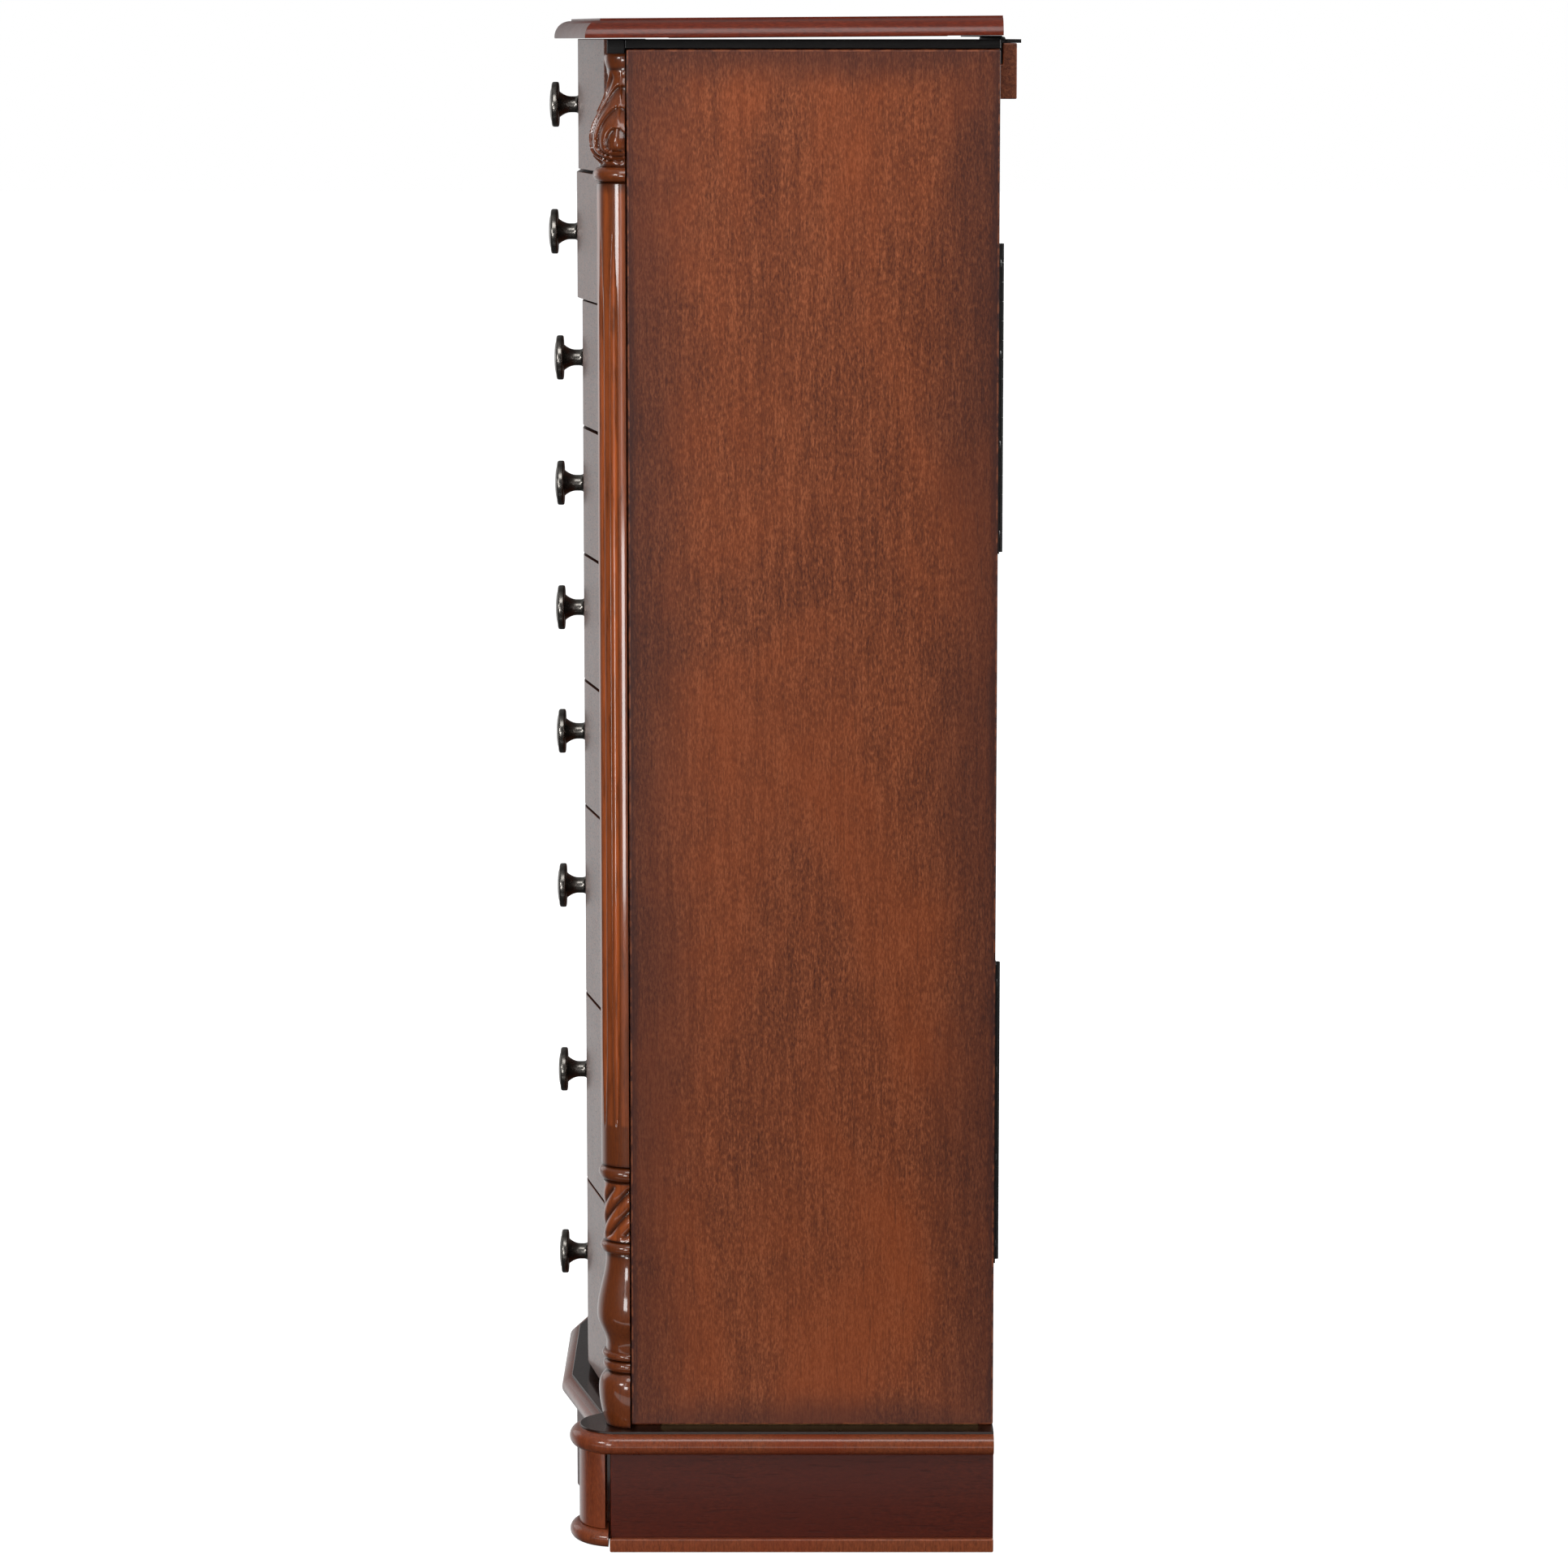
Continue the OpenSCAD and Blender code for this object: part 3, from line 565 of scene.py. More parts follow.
def moulded_slab(outline, plain, section, z0, recess=None):
    """A slab whose edge follows a section, as (inset, height) pairs, but for its plain sides. recess
    is an optional (low corner, high corner, depth) let into its underside."""
    made = bmesh.new()
    rings = []
    for inset, height in section:
        corners = inset_outline(outline, [0 if i in plain else inset for i in range(len(outline))])
        rings.append([made.verts.new((c.x * MM, c.y * MM, (z0 + height) * MM)) for c in corners])
    skin(made, rings, capped=False)
    made.faces.new(rings[-1])
    if recess is None:
        made.faces.new(list(reversed(rings[0])))
        return made
    (x0, y0), (x1, y1), depth = recess
    plan = [(x0, y0), (x1, y0), (x1, y1), (x0, y1)]
    rim = [made.verts.new((x * MM, y * MM, z0 * MM)) for x, y in plan]
    bed = [made.verts.new((x * MM, y * MM, (z0 + depth) * MM)) for x, y in plan]
    for i in range(4):
        made.faces.new((rim[i], rim[i - 1], bed[i - 1], bed[i]))
    made.faces.new(bed)
    loops = [made.edges.get((loop[i - 1], loop[i])) for loop in (rings[0], rim) for i in range(len(loop))]
    bmesh.ops.triangle_fill(made, edges=loops, use_beauty=True)
    return made


def turned(outline, name):
    """Revolves an outline of (radius, height) pairs, in millimetres, about Z."""
    made = bmesh.new()
    rings = []
    for radius, height in outline:
        spots = circle(72) if radius else [(0, 0)]
        rings.append([made.verts.new((radius * x * MM, radius * y * MM, height * MM)) for x, y in spots])
    skin(made, rings, capped=False)
    return finish_mesh(made, name, smooth=math.radians(40))


def arc(centre, radius, start, end, steps):
    """Points along an arc, in degrees, from start to end."""
    angles = [math.radians(start + (end - start) * k / steps) for k in range(steps + 1)]
    return [(centre[0] + radius * math.cos(a), centre[1] + radius * math.sin(a)) for a in angles]


def ease_in_out(share):
    share = min(1.0, max(0.0, share))
    return share * share * (3 - 2 * share)


# ---- columns

def bead(z, radius, height):
    """A half-round bead as (height, radius) pairs."""
    bulge = height / 2
    return [(up, out) for out, up in arc((radius - bulge, z), bulge, -90, 90, 12)]


def swell(z0, r0, z1, r1, step=1.5):
    """A smooth change of radius between two heights, as (height, radius) pairs."""
    count = max(2, round(abs(z1 - z0) / step))
    return [(z0 + (z1 - z0) * k / count, r0 + (r1 - r0) * (1 - math.cos(math.pi * k / count)) / 2)
            for k in range(count)]


def through(points, step=0.9):
    """A smooth curve through (height, radius) pairs, sampled at even steps."""
    ends = [points[0], *points, points[-1]]
    found = []
    for (z0, r0), (z1, r1), (z2, r2), (z3, r3) in zip(ends, ends[1:], ends[2:], ends[3:]):
        count = max(1, round((z2 - z1) / step))
        rise0, rise1 = (r2 - r0) / (z2 - z0), (r3 - r1) / (z3 - z1)
        for k in range(count):
            t = k / count
            span = z2 - z1
            radius = ((2 * t ** 3 - 3 * t ** 2 + 1) * r1 + (t ** 3 - 2 * t ** 2 + t) * span * rise0
                      + (3 * t ** 2 - 2 * t ** 3) * r2 + (t ** 3 - t ** 2) * span * rise1)
            found.append((z1 + span * t, radius))
    return found + [points[-1]]


def straight(z0, z1, radius, step):
    """A plain cylinder between two heights, as (height, radius) pairs."""
    count = max(1, round((z1 - z0) / step))
    return [(z0 + (z1 - z0) * k / count, radius) for k in range(count)]


class Column:
    """The outline of a half column and the depth of its carving at each point."""

    foot_z = 82.5
    twist = (211, 251)
    shaft = (263, 918)
    bulb = (930, 991)
    leaf_folds = 3.6
    grooves = (83, 119.9, 128.5, 136, 200.5, 211, 251.5, 262.5, 918.5, 930, 992.5)
    flute_top = 886
    flute_foot = 290
    flutes = 5
    flute_turn = math.radians(32)
    flute_half = math.radians(8.6)
    twist_starts = 8
    twist_lead = 114

    def outline(self):
        """Pairs of height and radius from the foot to the top, all in millimetres."""
        low = self.foot_z
        return [
            (low, 17.2), *through(((low + 0.3, 17.6), (90, 19.8), (99, 21.6), (107, 22.2), (112.5, 21.7),
                                   (116, 20.2), (118.6, 18), (119.6, 17))),
            *bead(124.3, 19.3, 8), (128.6, 17.7), *bead(131.5, 19.9, 5.4), (134.6, 17.3),
            *swell(138, 17, 159, 23.2), *swell(159, 23.2, 199, 17.2), (199, 17.2), (201, 17.2),
            *bead(206, 20.7, 8), *straight(*self.twist, 18.5, 0.9), (251, 18.5), *bead(257, 21.6, 10),
            *straight(263, 300, 19.9, 2), *straight(300, 340, 19.9, 4), *straight(340, 850, 19.9, 15),
            *straight(850, 890, 19.9, 2), *straight(890, 918, 19.9, 7), (918, 19.9),
            *bead(924, 22.3, 10),
            *through(((929.4, 18), (932.3, 19.2), (937.7, 23.4), (944.5, 25), (951, 24.9), (957.7, 23.1),
                      (964.4, 20), (971.1, 16.7), (977.8, 14.4), (984.6, 13.2), (991.3, 12.8), (993.4, 13.1),
                      (996.4, 14.1), (999.4, 14.7), (1001.4, 14.5), (1002.2, 13.9)))]

    def flute(self, angle, z):
        """Share of the flutes' depth. Each is pointed at its top and ends in a drop at its foot."""
        if not self.flute_foot < z < self.flute_top:
            return 0.0
        nearest = round((angle - math.pi / 2) / self.flute_turn)
        if abs(nearest) > self.flutes // 2:
            return 0.0
        off = abs(angle - math.pi / 2 - nearest * self.flute_turn)
        top = min(1.0, (self.flute_top - z) / 60)
        foot = min(1.0, 0.32 + (z - self.flute_foot) / 75) * min(1.0, (z - self.flute_foot) / 4) ** 0.5
        half = self.flute_half * min(top ** 0.8, foot)
        if off >= half:
            return 0.0
        return (1 - (off / half) ** 2) * (half / self.flute_half) ** 0.6

    def land(self, angle, z):
        """1 along the middle of the plain strip between two flutes, 0 at their edges."""
        if not self.flute_foot < z < self.shaft[1]:
            return 0.0
        off = abs((angle - math.pi / 2) / self.flute_turn % 1.0 - 0.5) * self.flute_turn
        return max(0.0, 1 - (off / self.flute_half) ** 2)

    def groove(self, z):
        """1 in the tight grooves beside the beads, where shade is painted."""
        return max(max(0.0, 1 - abs(z - at) / 1.6) for at in self.grooves)

    def rope(self, angle, z):
        """Share of the twist's depth: rounded strands with narrow valleys."""
        if not self.twist[0] <= z <= self.twist[1]:
            return 0.0
        turn = self.twist_starts * (angle + 2 * math.pi * (z - self.twist[0]) / self.twist_lead)
        ends = ease_in_out((z - self.twist[0]) / 5) * ease_in_out((self.twist[1] - z) / 5)
        return ends * (1 - abs(math.cos(turn / 2)) ** 0.8)

    def leaf(self, angle, z):
        """Share of the leaf's depth: lapped folds nested round a focus low on each leaf's middle line."""
        low, high = self.bulb
        if not low < z < high:
            return 0.0
        off = abs(abs(angle - math.pi / 2) - math.radians(75)) / math.radians(75)
        focus = low + 12
        up = (z - focus) / (high - focus) if z > focus else (focus - z) / (focus - low)
        fold = self.leaf_folds * math.hypot(off, up) % 1.0
        lap = fold ** 1.5 * (1 - ease_in_out((fold - 0.84) / 0.16))
        rib = max(0.0, 1 - off / 0.07) if z > focus else 0.0
        ends = ease_in_out((z - low) / 3) * ease_in_out((high - z) / 5)
        return ends * max(0.0, lap * 1.25 - 0.5 * rib)


def column_mesh(side, sizes, name):
    """Carves a half column: a lathe surface pushed inwards, closed by a flat back."""
    column = Column()
    centre_x, centre_y, cut_y = 193.0, -99.2, -99.7
    steps = 150
    made = bmesh.new()
    hollow, bright = [], []
    rings = []
    for z, radius in column.outline():
        start = math.asin((centre_y - cut_y) / radius)
        ring = []
        for k in range(steps + 1):
            angle = start + (math.pi - 2 * start) * k / steps
            flute, rope, leaf = column.flute(angle, z), column.rope(angle, z), column.leaf(angle, z)
            depth = flute * sizes.flute_depth + rope * sizes.twist_depth + leaf * sizes.leaf_depth
            if k in (0, steps):
                depth = 0
            out = radius * MM - depth
            ring.append(made.verts.new((side * (centre_x * MM + out * math.cos(angle)),
                                        centre_y * MM - out * math.sin(angle), z * MM)))
            # Painted shade: the twist's valleys, the deep parts of the leaf's folds and the grooves.
            hollow.append(max(rope ** 1.5, leaf ** 2 * 0.9, column.groove(z)))
            # The bright attribute marks painted highlights: the flutes, the middle of the lands and the
            # twist's crests.
            strand = 0.6 * (1 - rope) if column.twist[0] < z < column.twist[1] else 0
            bright.append(max(flute, 0.45 * column.land(angle, z), strand))
        rings.append(ring)
    skin(made, rings)
    mesh = finish_mesh(made, name, smooth=math.radians(50))
    set_attribute(mesh, "hollow", "POINT", hollow)
    set_attribute(mesh, "bright", "POINT", bright)
    return mesh


class CHEST_OT_columns(bpy.types.Operator):
    """Carve the two half columns at the front corners"""

    bl_idname = "chest.columns"
    bl_label = "Columns"

    def execute(self, context):
        for side, sign in SIDES.items():
            name = f"column_{side}_carved"
            mesh = column_mesh(sign, context.scene.chest_sizes, name)
            add_piece(name, mesh, "turned_columns", "case", [f"column_{side}"])
        return {"FINISHED"}


# ---- boards

def ease_group(nodes, material, width):
    for node in nodes:
        eased_node(node, material, width)


class CHEST_OT_case(bpy.types.Operator):
    """Ease and finish the boards of the case"""

    bl_idname = "chest.case"
    bl_label = "Case"

    def execute(self, context):
        width = context.scene.chest_sizes.board_ease
        ease_group(["case_bottom", "case_side_left", "case_side_right", "drawer_rails", "drawer_runners"],
                   "inner_case_wood", width)
        ease_group(["case_back"], "case_wood", width)
        ease_group(["corner_posts"], "case_wood", width)
        ease_group(["top_frame"], "black_lacquer", width * 0.7)
        ease_group(["hinge_batten"], "batten_wood", width)
        return {"FINISHED"}


class CHEST_OT_doors(bpy.types.Operator):
    """Veneer the two side doors"""

    bl_idname = "chest.doors"
    bl_label = "Side doors"

    def execute(self, context):
        for side in SIDES:
            eased_node(f"door_{side}_panel", "door_veneer",
                       context.scene.chest_sizes.door_ease, 3)
        return {"FINISHED"}


class CHEST_OT_fronts(bpy.types.Operator):
    """Ease and lacquer the drawer fronts and the false front"""

    bl_idname = "chest.fronts"
    bl_label = "Fronts"

    def execute(self, context):
        for node in ["false_front"] + [f"drawer_{i}_front" for i in DRAWERS]:
            eased_node(node, "front_wood", context.scene.chest_sizes.front_ease, 3)
        return {"FINISHED"}


# ---- plinth

def plinth_outline():
    """Plan of the top moulding: plain back, straight sides, a lobe over each turret, canted front."""
    low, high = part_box("plinth_top_moulding")
    half = high.x / MM
    back = high.y / MM
    front = low.y / MM
    lobe_centre, lobe, flat_half = (193, -109.4), 32, 70
    slope = math.tan(math.radians(14))
    round_lobe = arc(lobe_centre, lobe, 200, 280, 80)
    meet = next(200 + i for i, (x, y) in enumerate(round_lobe) if front + (x - flat_half) * slope > y)
    right = [(half, back), *reversed(arc(lobe_centre, lobe, meet, 360, 40)), (flat_half, front)]
    left = [(-x, y) for x, y in reversed(right)]
    return list(reversed(left + right))


class CHEST_OT_plinth(bpy.types.Operator):
    """Run the top moulding and finish the rest of the plinth"""

    bl_idname = "chest.plinth"
    bl_label = "Plinth"

    def execute(self, context):
        width = context.scene.chest_sizes.board_ease
        low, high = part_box("plinth_top_moulding")
        outline = plinth_outline()
        nose = 6.8
        bull_nose = [(-x, z) for x, z in arc((-nose, nose), nose, -90, 90, 20)]
        section = [(14, 0), (9, 0), *bull_nose, (7.0, 13.7), (7.0, 14.9), (7.3, 15.2), (9, 15.2), (16, 15.2)]
        plain = [i for i, p in enumerate(outline)
                 if p[1] > 140 and outline[(i + 1) % len(outline)][1] > 140]
        made = moulded_slab(outline, plain, section, low.z / MM)
        mesh = finish_mesh(made, "plinth_top_moulding_run")
        # The moulding's top ledge, under the doors, takes a painted shadow.
        ledge = low.z + 13.65 * MM
        set_attribute(mesh, "hollow", "POINT", [1.0 if v.co.z > ledge else 0.0 for v in mesh.vertices])
        add_piece("plinth_top_moulding_run", mesh, "turret_wood", "case",
                  ["plinth_top_moulding"])
        ease_group(["plinth_side_panels", "plinth_apron", "plinth_back_rail"],
                   "plinth_wood", width)
        ease_group(["plinth_turrets", "turret_foot_rings", "plinth_base_strips"],
                   "turret_wood", width)
        return {"FINISHED"}


# ---- lid

def tipped():
    """Turn of the closed lid about its hinge."""
    pivot = Vector((0, 0.1475, 1.0119))
    return Matrix.Translation(pivot) @ Matrix.Rotation(math.radians(0.4), 4, "X") @ Matrix.Translation(-pivot)


class CHEST_OT_lid(bpy.types.Operator):
    """Run the edge of the lid and fit its mirror"""

    bl_idname = "chest.lid"
    bl_label = "Lid"

    def execute(self, context):
        half, back, corner, front, flat_half = 225, 146.2, -125.0, -151.0, 85
        outline = [(half, back), (-half, back), (-half, corner), (-flat_half, front),
                   (flat_half, front), (half, corner)]
        thumb = 10.5
        thumbnail = [(-x, z) for x, z in arc((-thumb, 1), thumb, 0, 90, 18)]
        section = [(16, 0), (0.5, 0), (0.15, 0.15), (0, 0.5), *thumbnail,
                   (11.3, 11.5), (11.5, 11.7), (11.5, 12.5), (11.8, 12.8), (18, 12.8)]
        gap, depth, underside = 0.1, 5.8, 1014.3
        low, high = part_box("mirror_frame")
        recess = ((low.x / MM - gap, low.y / MM - gap), (high.x / MM + gap, high.y / MM + gap), depth)
        made = moulded_slab(outline, [0], section, underside, recess)
        made.transform(tipped())
        mesh = finish_mesh(made, "lid_panel_moulded")
        add_piece("lid_panel_moulded", mesh, "mahogany_moulding", "lid", ["lid_panel"])
        eased_node("mirror_frame", "plinth_wood", 0.0016, 3)
        eased_node("lid_mirror", "mirror_glass", 0.0008)
        return {"FINISHED"}


# ---- knobs

KNOB_HEIGHT = 21.7


def knob_outline():
    """Turned outline of a knob from its foot to the top of its boss."""
    flare = [(5.55 + 3.7 * (k / 8) ** 2, 6.9 + 8.3 * k / 8) for k in range(9)]
    head = [(14.2, 15.25), (14.9, 15.4), (15.35, 15.8), (15.5, 16.5), (15.5, 18.6), (15.35, 19.4),
            (14.9, 19.95), (14.2, 20.2), (13.5, 20.1), (13.1, 19.75), (12.7, 19.7), (12.3, 20.0)]
    dome = [(11.8 * x, 20.1 + 1.6 * y) for x, y in arc((0, 0), 1, 10, 82, 9)]
    return [(0, 1.25), (7.2, 1.25), (7.25, 1.6), (6.4, 2.0), (5.75, 2.9), (5.55, 4.2), *flare, *head, *dome,
            (0, KNOB_HEIGHT)]


def backplate_outline():
    """Round plate with a rolled rim and a shallow dish."""
    return [(0, 0), (16.0, 0), (16.2, 0.2), (16.2, 0.7), (15.9, 1.05), (15.3, 1.2), (14.7, 1.1), (14.2, 0.8),
            (13.4, 0.65), (10, 0.75), (8.2, 0.95), (7.6, 1.2), (0, 1.2)]


def screw_head(radius, height, name):
    """A low domed screw head with a cross recess, facing +Z."""
    made = bmesh.new()
    steps, turns = 9, 40
    slot_half, slot_reach, slot_depth = radius * 0.14, radius * 0.62, height * 0.45
    rings = []
    hollow = []
    for share in (i / steps for i in range(steps + 1)):
        dome = height * math.sqrt(max(0.0, 1 - 0.92 * share ** 2))
        spots = [(radius * share * x, radius * share * y) for x, y in circle(turns)]
        cut = [min(abs(x), abs(y)) < slot_half and max(abs(x), abs(y)) < slot_reach for x, y in spots]
        rings.append([made.verts.new((x, y, max(dome - slot_depth * deep, height * 0.1)))
                      for (x, y), deep in zip(spots, cut)])
        hollow += cut
    rings.append([made.verts.new((v.co.x, v.co.y, 0)) for v in rings[-1]])
    hollow += [False] * turns
    skin(made, rings, capped=False)
    mesh = finish_mesh(made, name, smooth=math.radians(40))
    # The cross recess is marked for painted shade.
    set_attribute(mesh, "hollow", "POINT", [float(deep) for deep in hollow])
    return mesh


class CHEST_OT_knobs(bpy.types.Operator):
    """Turn the nine knobs with their backplates and screws"""

    bl_idname = "chest.knobs"
    bl_label = "Knobs"

    def execute(self, context):
        knob = turned(knob_outline(), "knob")
        plate = turned(backplate_outline(), "backplate")
        screw = screw_head(0.004, 0.0024, "knob_screw")
        sets = [("false_front_knob", "case", "false_front")]
        sets += [(f"drawer_{i}_knob", f"drawer_{i}", f"drawer_{i}_front") for i in DRAWERS]
        for node, body, front in sets:
            low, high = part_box(node)
            height = (low.z + high.z) / 2
            place = Matrix.Translation((0, low.y + KNOB_HEIGHT * MM, height)) @ FACING_FRONT
            add_piece(node + "_turned", knob, "pewter", body, [node], place)
            add_piece(node + "_backplate", plate, "pewter", body, (), place)
            behind = Matrix.Translation((0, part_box(front)[1].y, height)) @ FACING_BACK
            add_piece(node + "_screw", screw, "pewter", body, (), behind)
        return {"FINISHED"}


# ---- hinges and their screws

def repeated(name, material, body, places, head, replaced=()):
    """Sets one small mesh, such as a screw head, at each place, joined as one piece."""
    joined = bmesh.new()
    for place in places:
        copy = bmesh.new()
        copy.from_mesh(head)
        copy.transform(place)
        spare = bpy.data.meshes.new("spare")
        copy.to_mesh(spare)
        copy.free()
        joined.from_mesh(spare)
        bpy.data.meshes.remove(spare)
    mesh = bpy.data.meshes.new(name)
    joined.to_mesh(mesh)
    joined.free()
    mesh.set_sharp_from_angle(angle=math.radians(40))
    return add_piece(name, mesh, material, body, replaced)


class CHEST_OT_hinges(bpy.types.Operator):
    """Finish the hinges and set their screws"""

    bl_idname = "chest.hinges"
    bl_label = "Hinges"

    def execute(self, context):
        width = context.scene.chest_sizes.metal_ease
        for node in ["door_hinge_case_leaves", "lid_hinge_case_leaf", "lid_hinge_lid_leaf",
                     "door_left_hinge_leaves", "door_right_hinge_leaves"]:
            eased_node(node, "black_steel", width, 1)
        head = screw_head(0.0026, 0.0007, "hinge_screw")
        leaf_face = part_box("door_hinge_case_leaves")[0].y + 0.8 * MM
        heights = [base + step for base in (0.198, 0.676) for step in (0.0127, 0.0719, 0.1313, 0.1905)]
        for side, sign in SIDES.items():
            on_door = [Matrix.Translation((sign * 0.2112, leaf_face, z)) @ FACING_BACK for z in heights]
            repeated(f"door_{side}_hinge_screws", "black_steel", f"door_{side}", on_door, head)
        on_case = [Matrix.Translation((sign * 0.1935, leaf_face, z)) @ FACING_BACK
                   for sign in SIDES.values() for z in heights]
        repeated("case_hinge_screws", "black_steel", "case", on_case, head)
        return {"FINISHED"}


# ---- tray, linings and ring rolls

def lining(name, low, high, body):
    """A felt lining laid in a tray or drawer: a thin sheet with a slight ripple."""
    made = bmesh.new()
    thickness = high[2] - low[2]
    count_x = max(8, round((high[0] - low[0]) / 0.008))
    count_y = max(8, round((high[1] - low[1]) / 0.008))
    grid = []
    for i in range(count_x + 1):
        row = []
        for j in range(count_y + 1):
            x = low[0] + (high[0] - low[0]) * i / count_x
            y = low[1] + (high[1] - low[1]) * j / count_y
            ripple = 0.00022 * math.sin(x * 55 + y * 23) * math.sin(y * 61 - x * 17)
            row.append(made.verts.new((x, y, low[2] + thickness * 0.8 + ripple)))
        grid.append(row)
    for i in range(count_x):
        for j in range(count_y):
            made.faces.new((grid[i][j], grid[i + 1][j], grid[i + 1][j + 1], grid[i][j + 1]))
    bmesh.ops.solidify(made, geom=made.faces[:], thickness=thickness * 0.7)
    mesh = finish_mesh(made, name, smooth=math.radians(60))
    piece = add_piece(name, mesh, "tray_lining", body)
    high[0] - low[0]
    high[1] - low[1]


def ring_roll_mesh(length, radius, simulate):
    """A stuffed velvet roll. Its cover is blown out by a cloth run, with a cap on how far it moves."""
    made = bmesh.new()
    inner = radius * (0.9 if simulate else 0.985)
    stations, turns = 44, 28
    end_round = radius * 0.5
    rings = []
    for share in (i / stations for i in range(stations + 1)):
        from_end = min(share, 1 - share) * length
        crown = math.sqrt(1 - max(0.0, 1 - from_end / end_round) ** 2)
        out = inner * (0.35 + 0.65 * crown)
        rings.append([made.verts.new((length * (share - 0.5), out * x, out * y)) for x, y in circle(turns)])
    skin(made, rings)
    return finish_mesh(made, "ring_roll", smooth=None)


def blow_out(mesh, cap, limit_radius, half_length):
    """Cloth with pressure on a mesh, stepped through 20 frames, then capped and applied."""
    holder = bpy.data.objects.new("roll_cover", mesh)
    bpy.context.scene.collection.objects.link(holder)
    rest = [v.co.copy() for v in mesh.vertices]
    cloth = holder.modifiers.new("Cloth", "CLOTH")
    cloth.settings.use_pressure = True
    cloth.settings.uniform_pressure_force = 4
    cloth.settings.effector_weights.gravity = 0
    cloth.settings.mass = 0.2
    cloth.settings.tension_stiffness = 12
    cloth.settings.bending_stiffness = 0.6
    cloth.point_cache.frame_start = 1
    cloth.point_cache.frame_end = 20
    scene = bpy.context.scene
    for number in range(1, 21):
        scene.frame_set(number)
    evaluated = holder.evaluated_get(bpy.context.evaluated_depsgraph_get())
    moved = [v.co.copy() for v in evaluated.data.vertices]
    scene.frame_set(1)
    bpy.data.objects.remove(holder)
    for vertex, start, end in zip(mesh.vertices, rest, moved):
        shift = end - start
        if shift.length > cap:
            shift *= cap / shift.length
        spot = start + shift
        across = math.hypot(spot.y, spot.z)
        if across > limit_radius:
            spot.y *= limit_radius / across
            spot.z *= limit_radius / across
        spot.x = min(half_length, max(-half_length, spot.x))
        vertex.co = spot


class CHEST_OT_tray(bpy.types.Operator):
    """Line the tray and lay the ring rolls in it"""

    bl_idname = "chest.tray"
    bl_label = "Tray and ring rolls"

    def execute(self, context):
        sizes = context.scene.chest_sizes
        eased_node("jewellery_tray", "mahogany_moulding", 0.0008)
        low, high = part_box("jewellery_tray")
        floor = low.z + 0.004
        wall, bay_x, bay_y, gap = 0.004, 0.062, 0.0203, 0.0006
        for side, sign in SIDES.items():
            for part, y0, y1 in (("front", low.y + wall, bay_y), ("back", bay_y + wall, high.y - wall)):
                inner, outer = sorted((sign * (bay_x + wall), sign * (high.x - wall)))
                lining(f"tray_lining_{side}_{part}", (inner + gap, y0 + gap, floor),
                       (outer - gap, y1 - gap, floor + sizes.lining_t), "case")
        low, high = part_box("ring_rolls")
        count = 9
        radius = (high.z - low.z) / 2
        length = high.x - low.x
        step = (high.y - low.y - 2 * radius) / (count - 1)
        mesh = ring_roll_mesh(length, radius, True)
        blow_out(mesh, 0.0016, radius * 1.01, length / 2)
        set_weighted_normals(mesh)
        for k in range(count):
            place = Matrix.Translation((0, low.y + radius + k * step, low.z + radius))
            place = place @ Matrix.Rotation(math.radians(40 * k), 4, "X")
            roll = add_piece(f"ring_roll_{k + 1}", mesh, "ring_roll_fabric", "case",
                             ["ring_rolls"], place)
        return {"FINISHED"}


class CHEST_OT_drawer_boxes(bpy.types.Operator):
    """Finish and line the eight drawer boxes"""

    bl_idname = "chest.drawer_boxes"
    bl_label = "Drawer boxes"

    def execute(self, context):
        sizes = context.scene.chest_sizes
        for i in DRAWERS:
            node = f"drawer_{i}_box"
            eased_node(node, "drawer_wood", 0.0006)
            low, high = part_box(node)
            side, front, floor = 0.0078, 0.0008, low.z + 0.004
            lining(f"drawer_{i}_lining", (low.x + side, low.y + front, floor),
                   (high.x - side, high.y - side, floor + sizes.lining_t), f"drawer_{i}")
        return {"FINISHED"}


# ---- necklace bays

def hook_mesh(reach, rise, wire):
    """A bent wire hook with a ball on its tip: out along -X from its root, then up."""
    bend = rise * 0.5
    path = [(0, 0), *arc((bend - reach, bend), bend, 270, 180, 6), (-reach, rise)]
    path = [Vector((x, 0, z)) for x, z in path]
    across = Vector((0, 1, 0))
    made = bmesh.new()
    rings = []
    for behind, point, ahead in zip([path[0], *path], path, [*path[1:], path[-1]]):
        other = (ahead - behind).normalized().cross(across)
        rings.append([made.verts.new(point + wire * (across * x + other * y)) for x, y in circle(14)])
    skin(made, rings)
    bmesh.ops.create_uvsphere(made, u_segments=16, v_segments=10, radius=wire * 1.45,
                              matrix=Matrix.Translation((-reach, 0, rise)))
    return finish_mesh(made, "hook", smooth=math.radians(60))


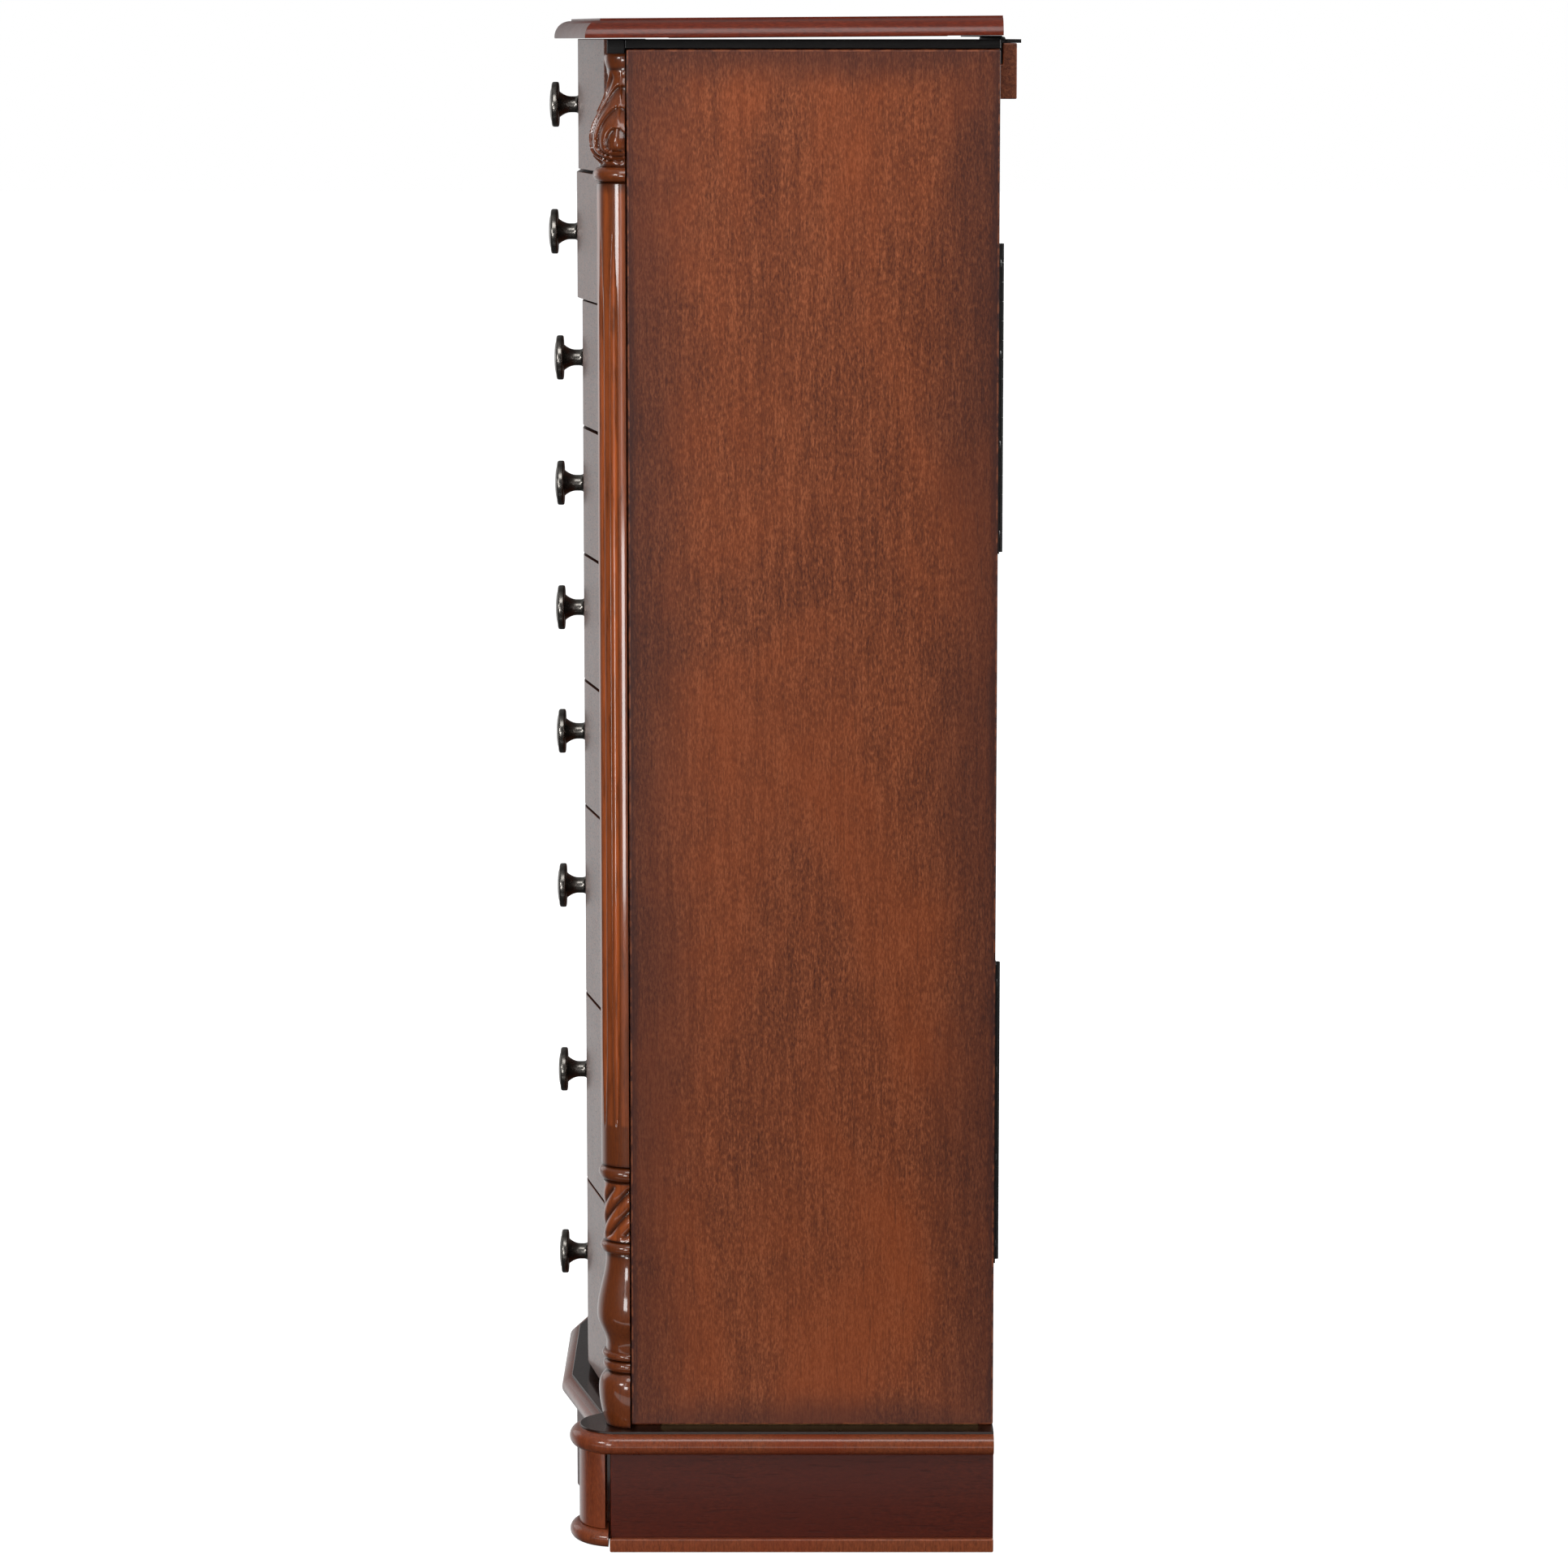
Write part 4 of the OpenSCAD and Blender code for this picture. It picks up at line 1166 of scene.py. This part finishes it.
class CHEST_OT_necklace_racks(bpy.types.Operator):
    """Fit the necklace racks, their bent hooks and the magnet catches"""

    bl_idname = "chest.necklace_racks"
    bl_label = "Necklace racks"

    def execute(self, context):
        rail_t, hook_count, end = 6.9 * MM, 7, 15 * MM
        wire = 1.2 * MM
        for side, sign in SIDES.items():
            node = f"door_{side}_necklace_rack"
            low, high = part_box(node)
            outer = max(abs(low.x), abs(high.x))
            inner = outer - rail_t
            reach = inner - min(abs(low.x), abs(high.x)) - wire
            made = bmesh.new()
            size = (rail_t, high.y - low.y, high.z - low.z)
            middle = (sign * (inner + outer) / 2, (low.y + high.y) / 2, (low.z + high.z) / 2)
            fitted = Matrix.Translation(middle) @ Matrix.Diagonal((*size, 1))
            bmesh.ops.create_cube(made, size=1, matrix=fitted)
            arris = ease_edges(made, 1.6 * MM, 4)
            rail = finish_mesh(made, node + "_rail", arris, smooth=None)
            set_weighted_normals(rail)
            add_piece(node + "_rail", rail, "rack_wood", f"door_{side}", [node])
            turn = Matrix.Identity(4) if sign > 0 else Matrix.Rotation(math.pi, 4, "Z")
            step = (high.y - low.y - 2 * end) / (hook_count - 1)
            places = [Matrix.Translation((sign * inner, low.y + end + k * step, (low.z + high.z) / 2)) @ turn
                      for k in range(hook_count)]
            hook = hook_mesh(reach, 5 * MM, wire)
            repeated(node + "_hooks", "brass", f"door_{side}", places, hook, [node])
        eased_node("magnet_catches", "catch_plastic", 0.0006)
        return {"FINISHED"}


# ---- stage

def softbox(name, place, target, width, height, brightness):
    """A rectangular light of an even brightness, aimed at a point and not seen by the camera."""
    data = bpy.data.lights.new(name, "AREA")
    data.shape = "RECTANGLE"
    data.size, data.size_y = width, height
    data.energy = brightness * math.pi * width * height
    light = bpy.data.objects.new(name, data)
    bpy.context.scene.collection.objects.link(light)
    light.location = place
    light.rotation_euler = (Vector(target) - Vector(place)).to_track_quat("-Z", "Y").to_euler()
    light.visible_camera = False


def white_room():
    """White surroundings to look at. What they light the chest with is bright behind it and dark on
    the camera's side, as in a studio."""
    world = bpy.data.worlds.new("studio")
    bpy.context.scene.world = world
    world.use_nodes = True
    nodes = Nodes(world.node_tree)
    around = nodes.node("ShaderNodeTexCoord", output="Generated")
    x, y, z = (nodes.node("ShaderNodeSeparateXYZ", None, {0: around}, output=axis) for axis in (X, Y, Z))
    facing = x * -0.8 + y * -0.6
    behind = nodes.step(facing, 0.72, 1.0) * nodes.step(z, -0.3, 0.15, 0.9, 0.5)
    above = nodes.step(z, 0.3, 1.0, 0.0, 0.35)
    seen = nodes.node("ShaderNodeLightPath", output="Is Camera Ray")
    strength = seen + (1 - seen) * (behind + above + 0.06)
    background = nodes.node("ShaderNodeBackground", None, {"Color": (1, 1, 1, 1), "Strength": strength})
    nodes.end("ShaderNodeOutputWorld", background.socket)


class CHEST_OT_stage(bpy.types.Operator):
    """Set the floor, the lights and the camera"""

    bl_idname = "chest.stage"
    bl_label = "Stage"

    def execute(self, context):
        stage = context.scene.chest_stage
        made = bmesh.new()
        bmesh.ops.create_grid(made, x_segments=2, y_segments=2, size=30)
        floor = bpy.data.objects.new("floor", finish_mesh(made, "floor"))
        context.scene.collection.objects.link(floor)
        finish = Finish("floor_paper", {"Emission Strength": 0.98})
        tone = finish.noise(3, 2)
        finish.give("Base Color", finish.mix(tone, (0.62, 0.62, 0.62), (0.6, 0.6, 0.6)))
        finish.give("Roughness", 0.7 + 0.1 * tone)
        finish.shader.inputs["Emission Color"].default_value = (1, 1, 1, 1)
        finish.shader.inputs["Specular IOR Level"].default_value = 0.0
        floor.data.materials.append(finish.material)
        floor.visible_diffuse = floor.visible_glossy = False
        white_room()
        softbox("key", (1.1, -0.05, 1.62), (0.2, 0.0, 0.85), 1.0, 0.6, 4.4)
        softbox("low_side", (2.0, 1.6, 0.15), (0.2, 0.0, 0.3), 0.8, 0.8, 3.6)
        softbox("strip", (2.3, -0.95, 1.1), (0.2, -0.1, 0.8), 0.2, 1.2, 2.5)
        softbox("hot_high", (1.76, -1.3, 0.98), (0.2, -0.1, 0.9), 0.45, 0.45, 17)
        softbox("hot_low", (2.1, -0.75, 0.3), (0.2, -0.1, 0.2), 0.4, 0.4, 15)
        softbox("front_left", (-1.7, -2.1, 1.2), (0.0, -0.1, 0.6), 1.4, 1.4, 0.8)
        softbox("back_left", (-2.1, 1.7, 1.4), (0.0, 0.1, 0.6), 1.4, 1.4, 5.0)
        softbox("back_right", (0.4, 2.8, 1.6), (0.0, 0.1, 0.6), 1.4, 1.4, 4.0)
        softbox("floor_card", (0.42, 0.0, 0.006), (0.22, 0.0, 0.075), 1.0, 0.05, 1.2)
        data = bpy.data.cameras.new("camera")
        data.lens = stage.lens
        data.sensor_width = 36
        data.shift_y = stage.shift
        camera = bpy.data.objects.new("camera", data)
        context.scene.collection.objects.link(camera)
        camera.location = (stage.camera_x, stage.camera_y, stage.camera_z)
        camera.rotation_euler = (math.radians(90) - stage.tilt, 0, math.radians(90))
        context.scene.camera = camera
        context.scene.view_settings.view_transform = "Standard"
        return {"FINISHED"}


# ---- panel, registration and the run

GROUPS = {"chest_sizes": ChestSizes, "chest_finishes": ChestFinishes, "chest_stage": ChestStage}
OPERATORS = [CHEST_OT_finishes, CHEST_OT_case, CHEST_OT_plinth, CHEST_OT_columns, CHEST_OT_fronts,
             CHEST_OT_knobs, CHEST_OT_doors, CHEST_OT_lid, CHEST_OT_hinges, CHEST_OT_tray,
             CHEST_OT_drawer_boxes, CHEST_OT_necklace_racks, CHEST_OT_stage]


class CHEST_PT_panel(bpy.types.Panel):
    """Lists the chest's pieces in the sidebar"""

    bl_idname = "CHEST_PT_panel"
    bl_label = "Jewellery chest"
    bl_space_type = "VIEW_3D"
    bl_region_type = "UI"
    bl_category = "Chest"

    def draw(self, context):
        for name, group in GROUPS.items():
            for setting in group.__annotations__:
                self.layout.prop(getattr(context.scene, name), setting)
        for operator in OPERATORS:
            self.layout.operator(operator.bl_idname)


CLASSES = [*GROUPS.values(), *OPERATORS, CHEST_PT_panel]


def register():
    for cls in CLASSES:
        bpy.utils.register_class(cls)
    for name, group in GROUPS.items():
        setattr(bpy.types.Scene, name, bpy.props.PointerProperty(type=group))


def unregister():
    for name in GROUPS:
        delattr(bpy.types.Scene, name)
    for cls in reversed(CLASSES):
        bpy.utils.unregister_class(cls)


def main():
    register()
    for operator in OPERATORS:
        getattr(bpy.ops.chest, operator.bl_idname.split(".")[1])()


if __name__ == "__main__":
    main()
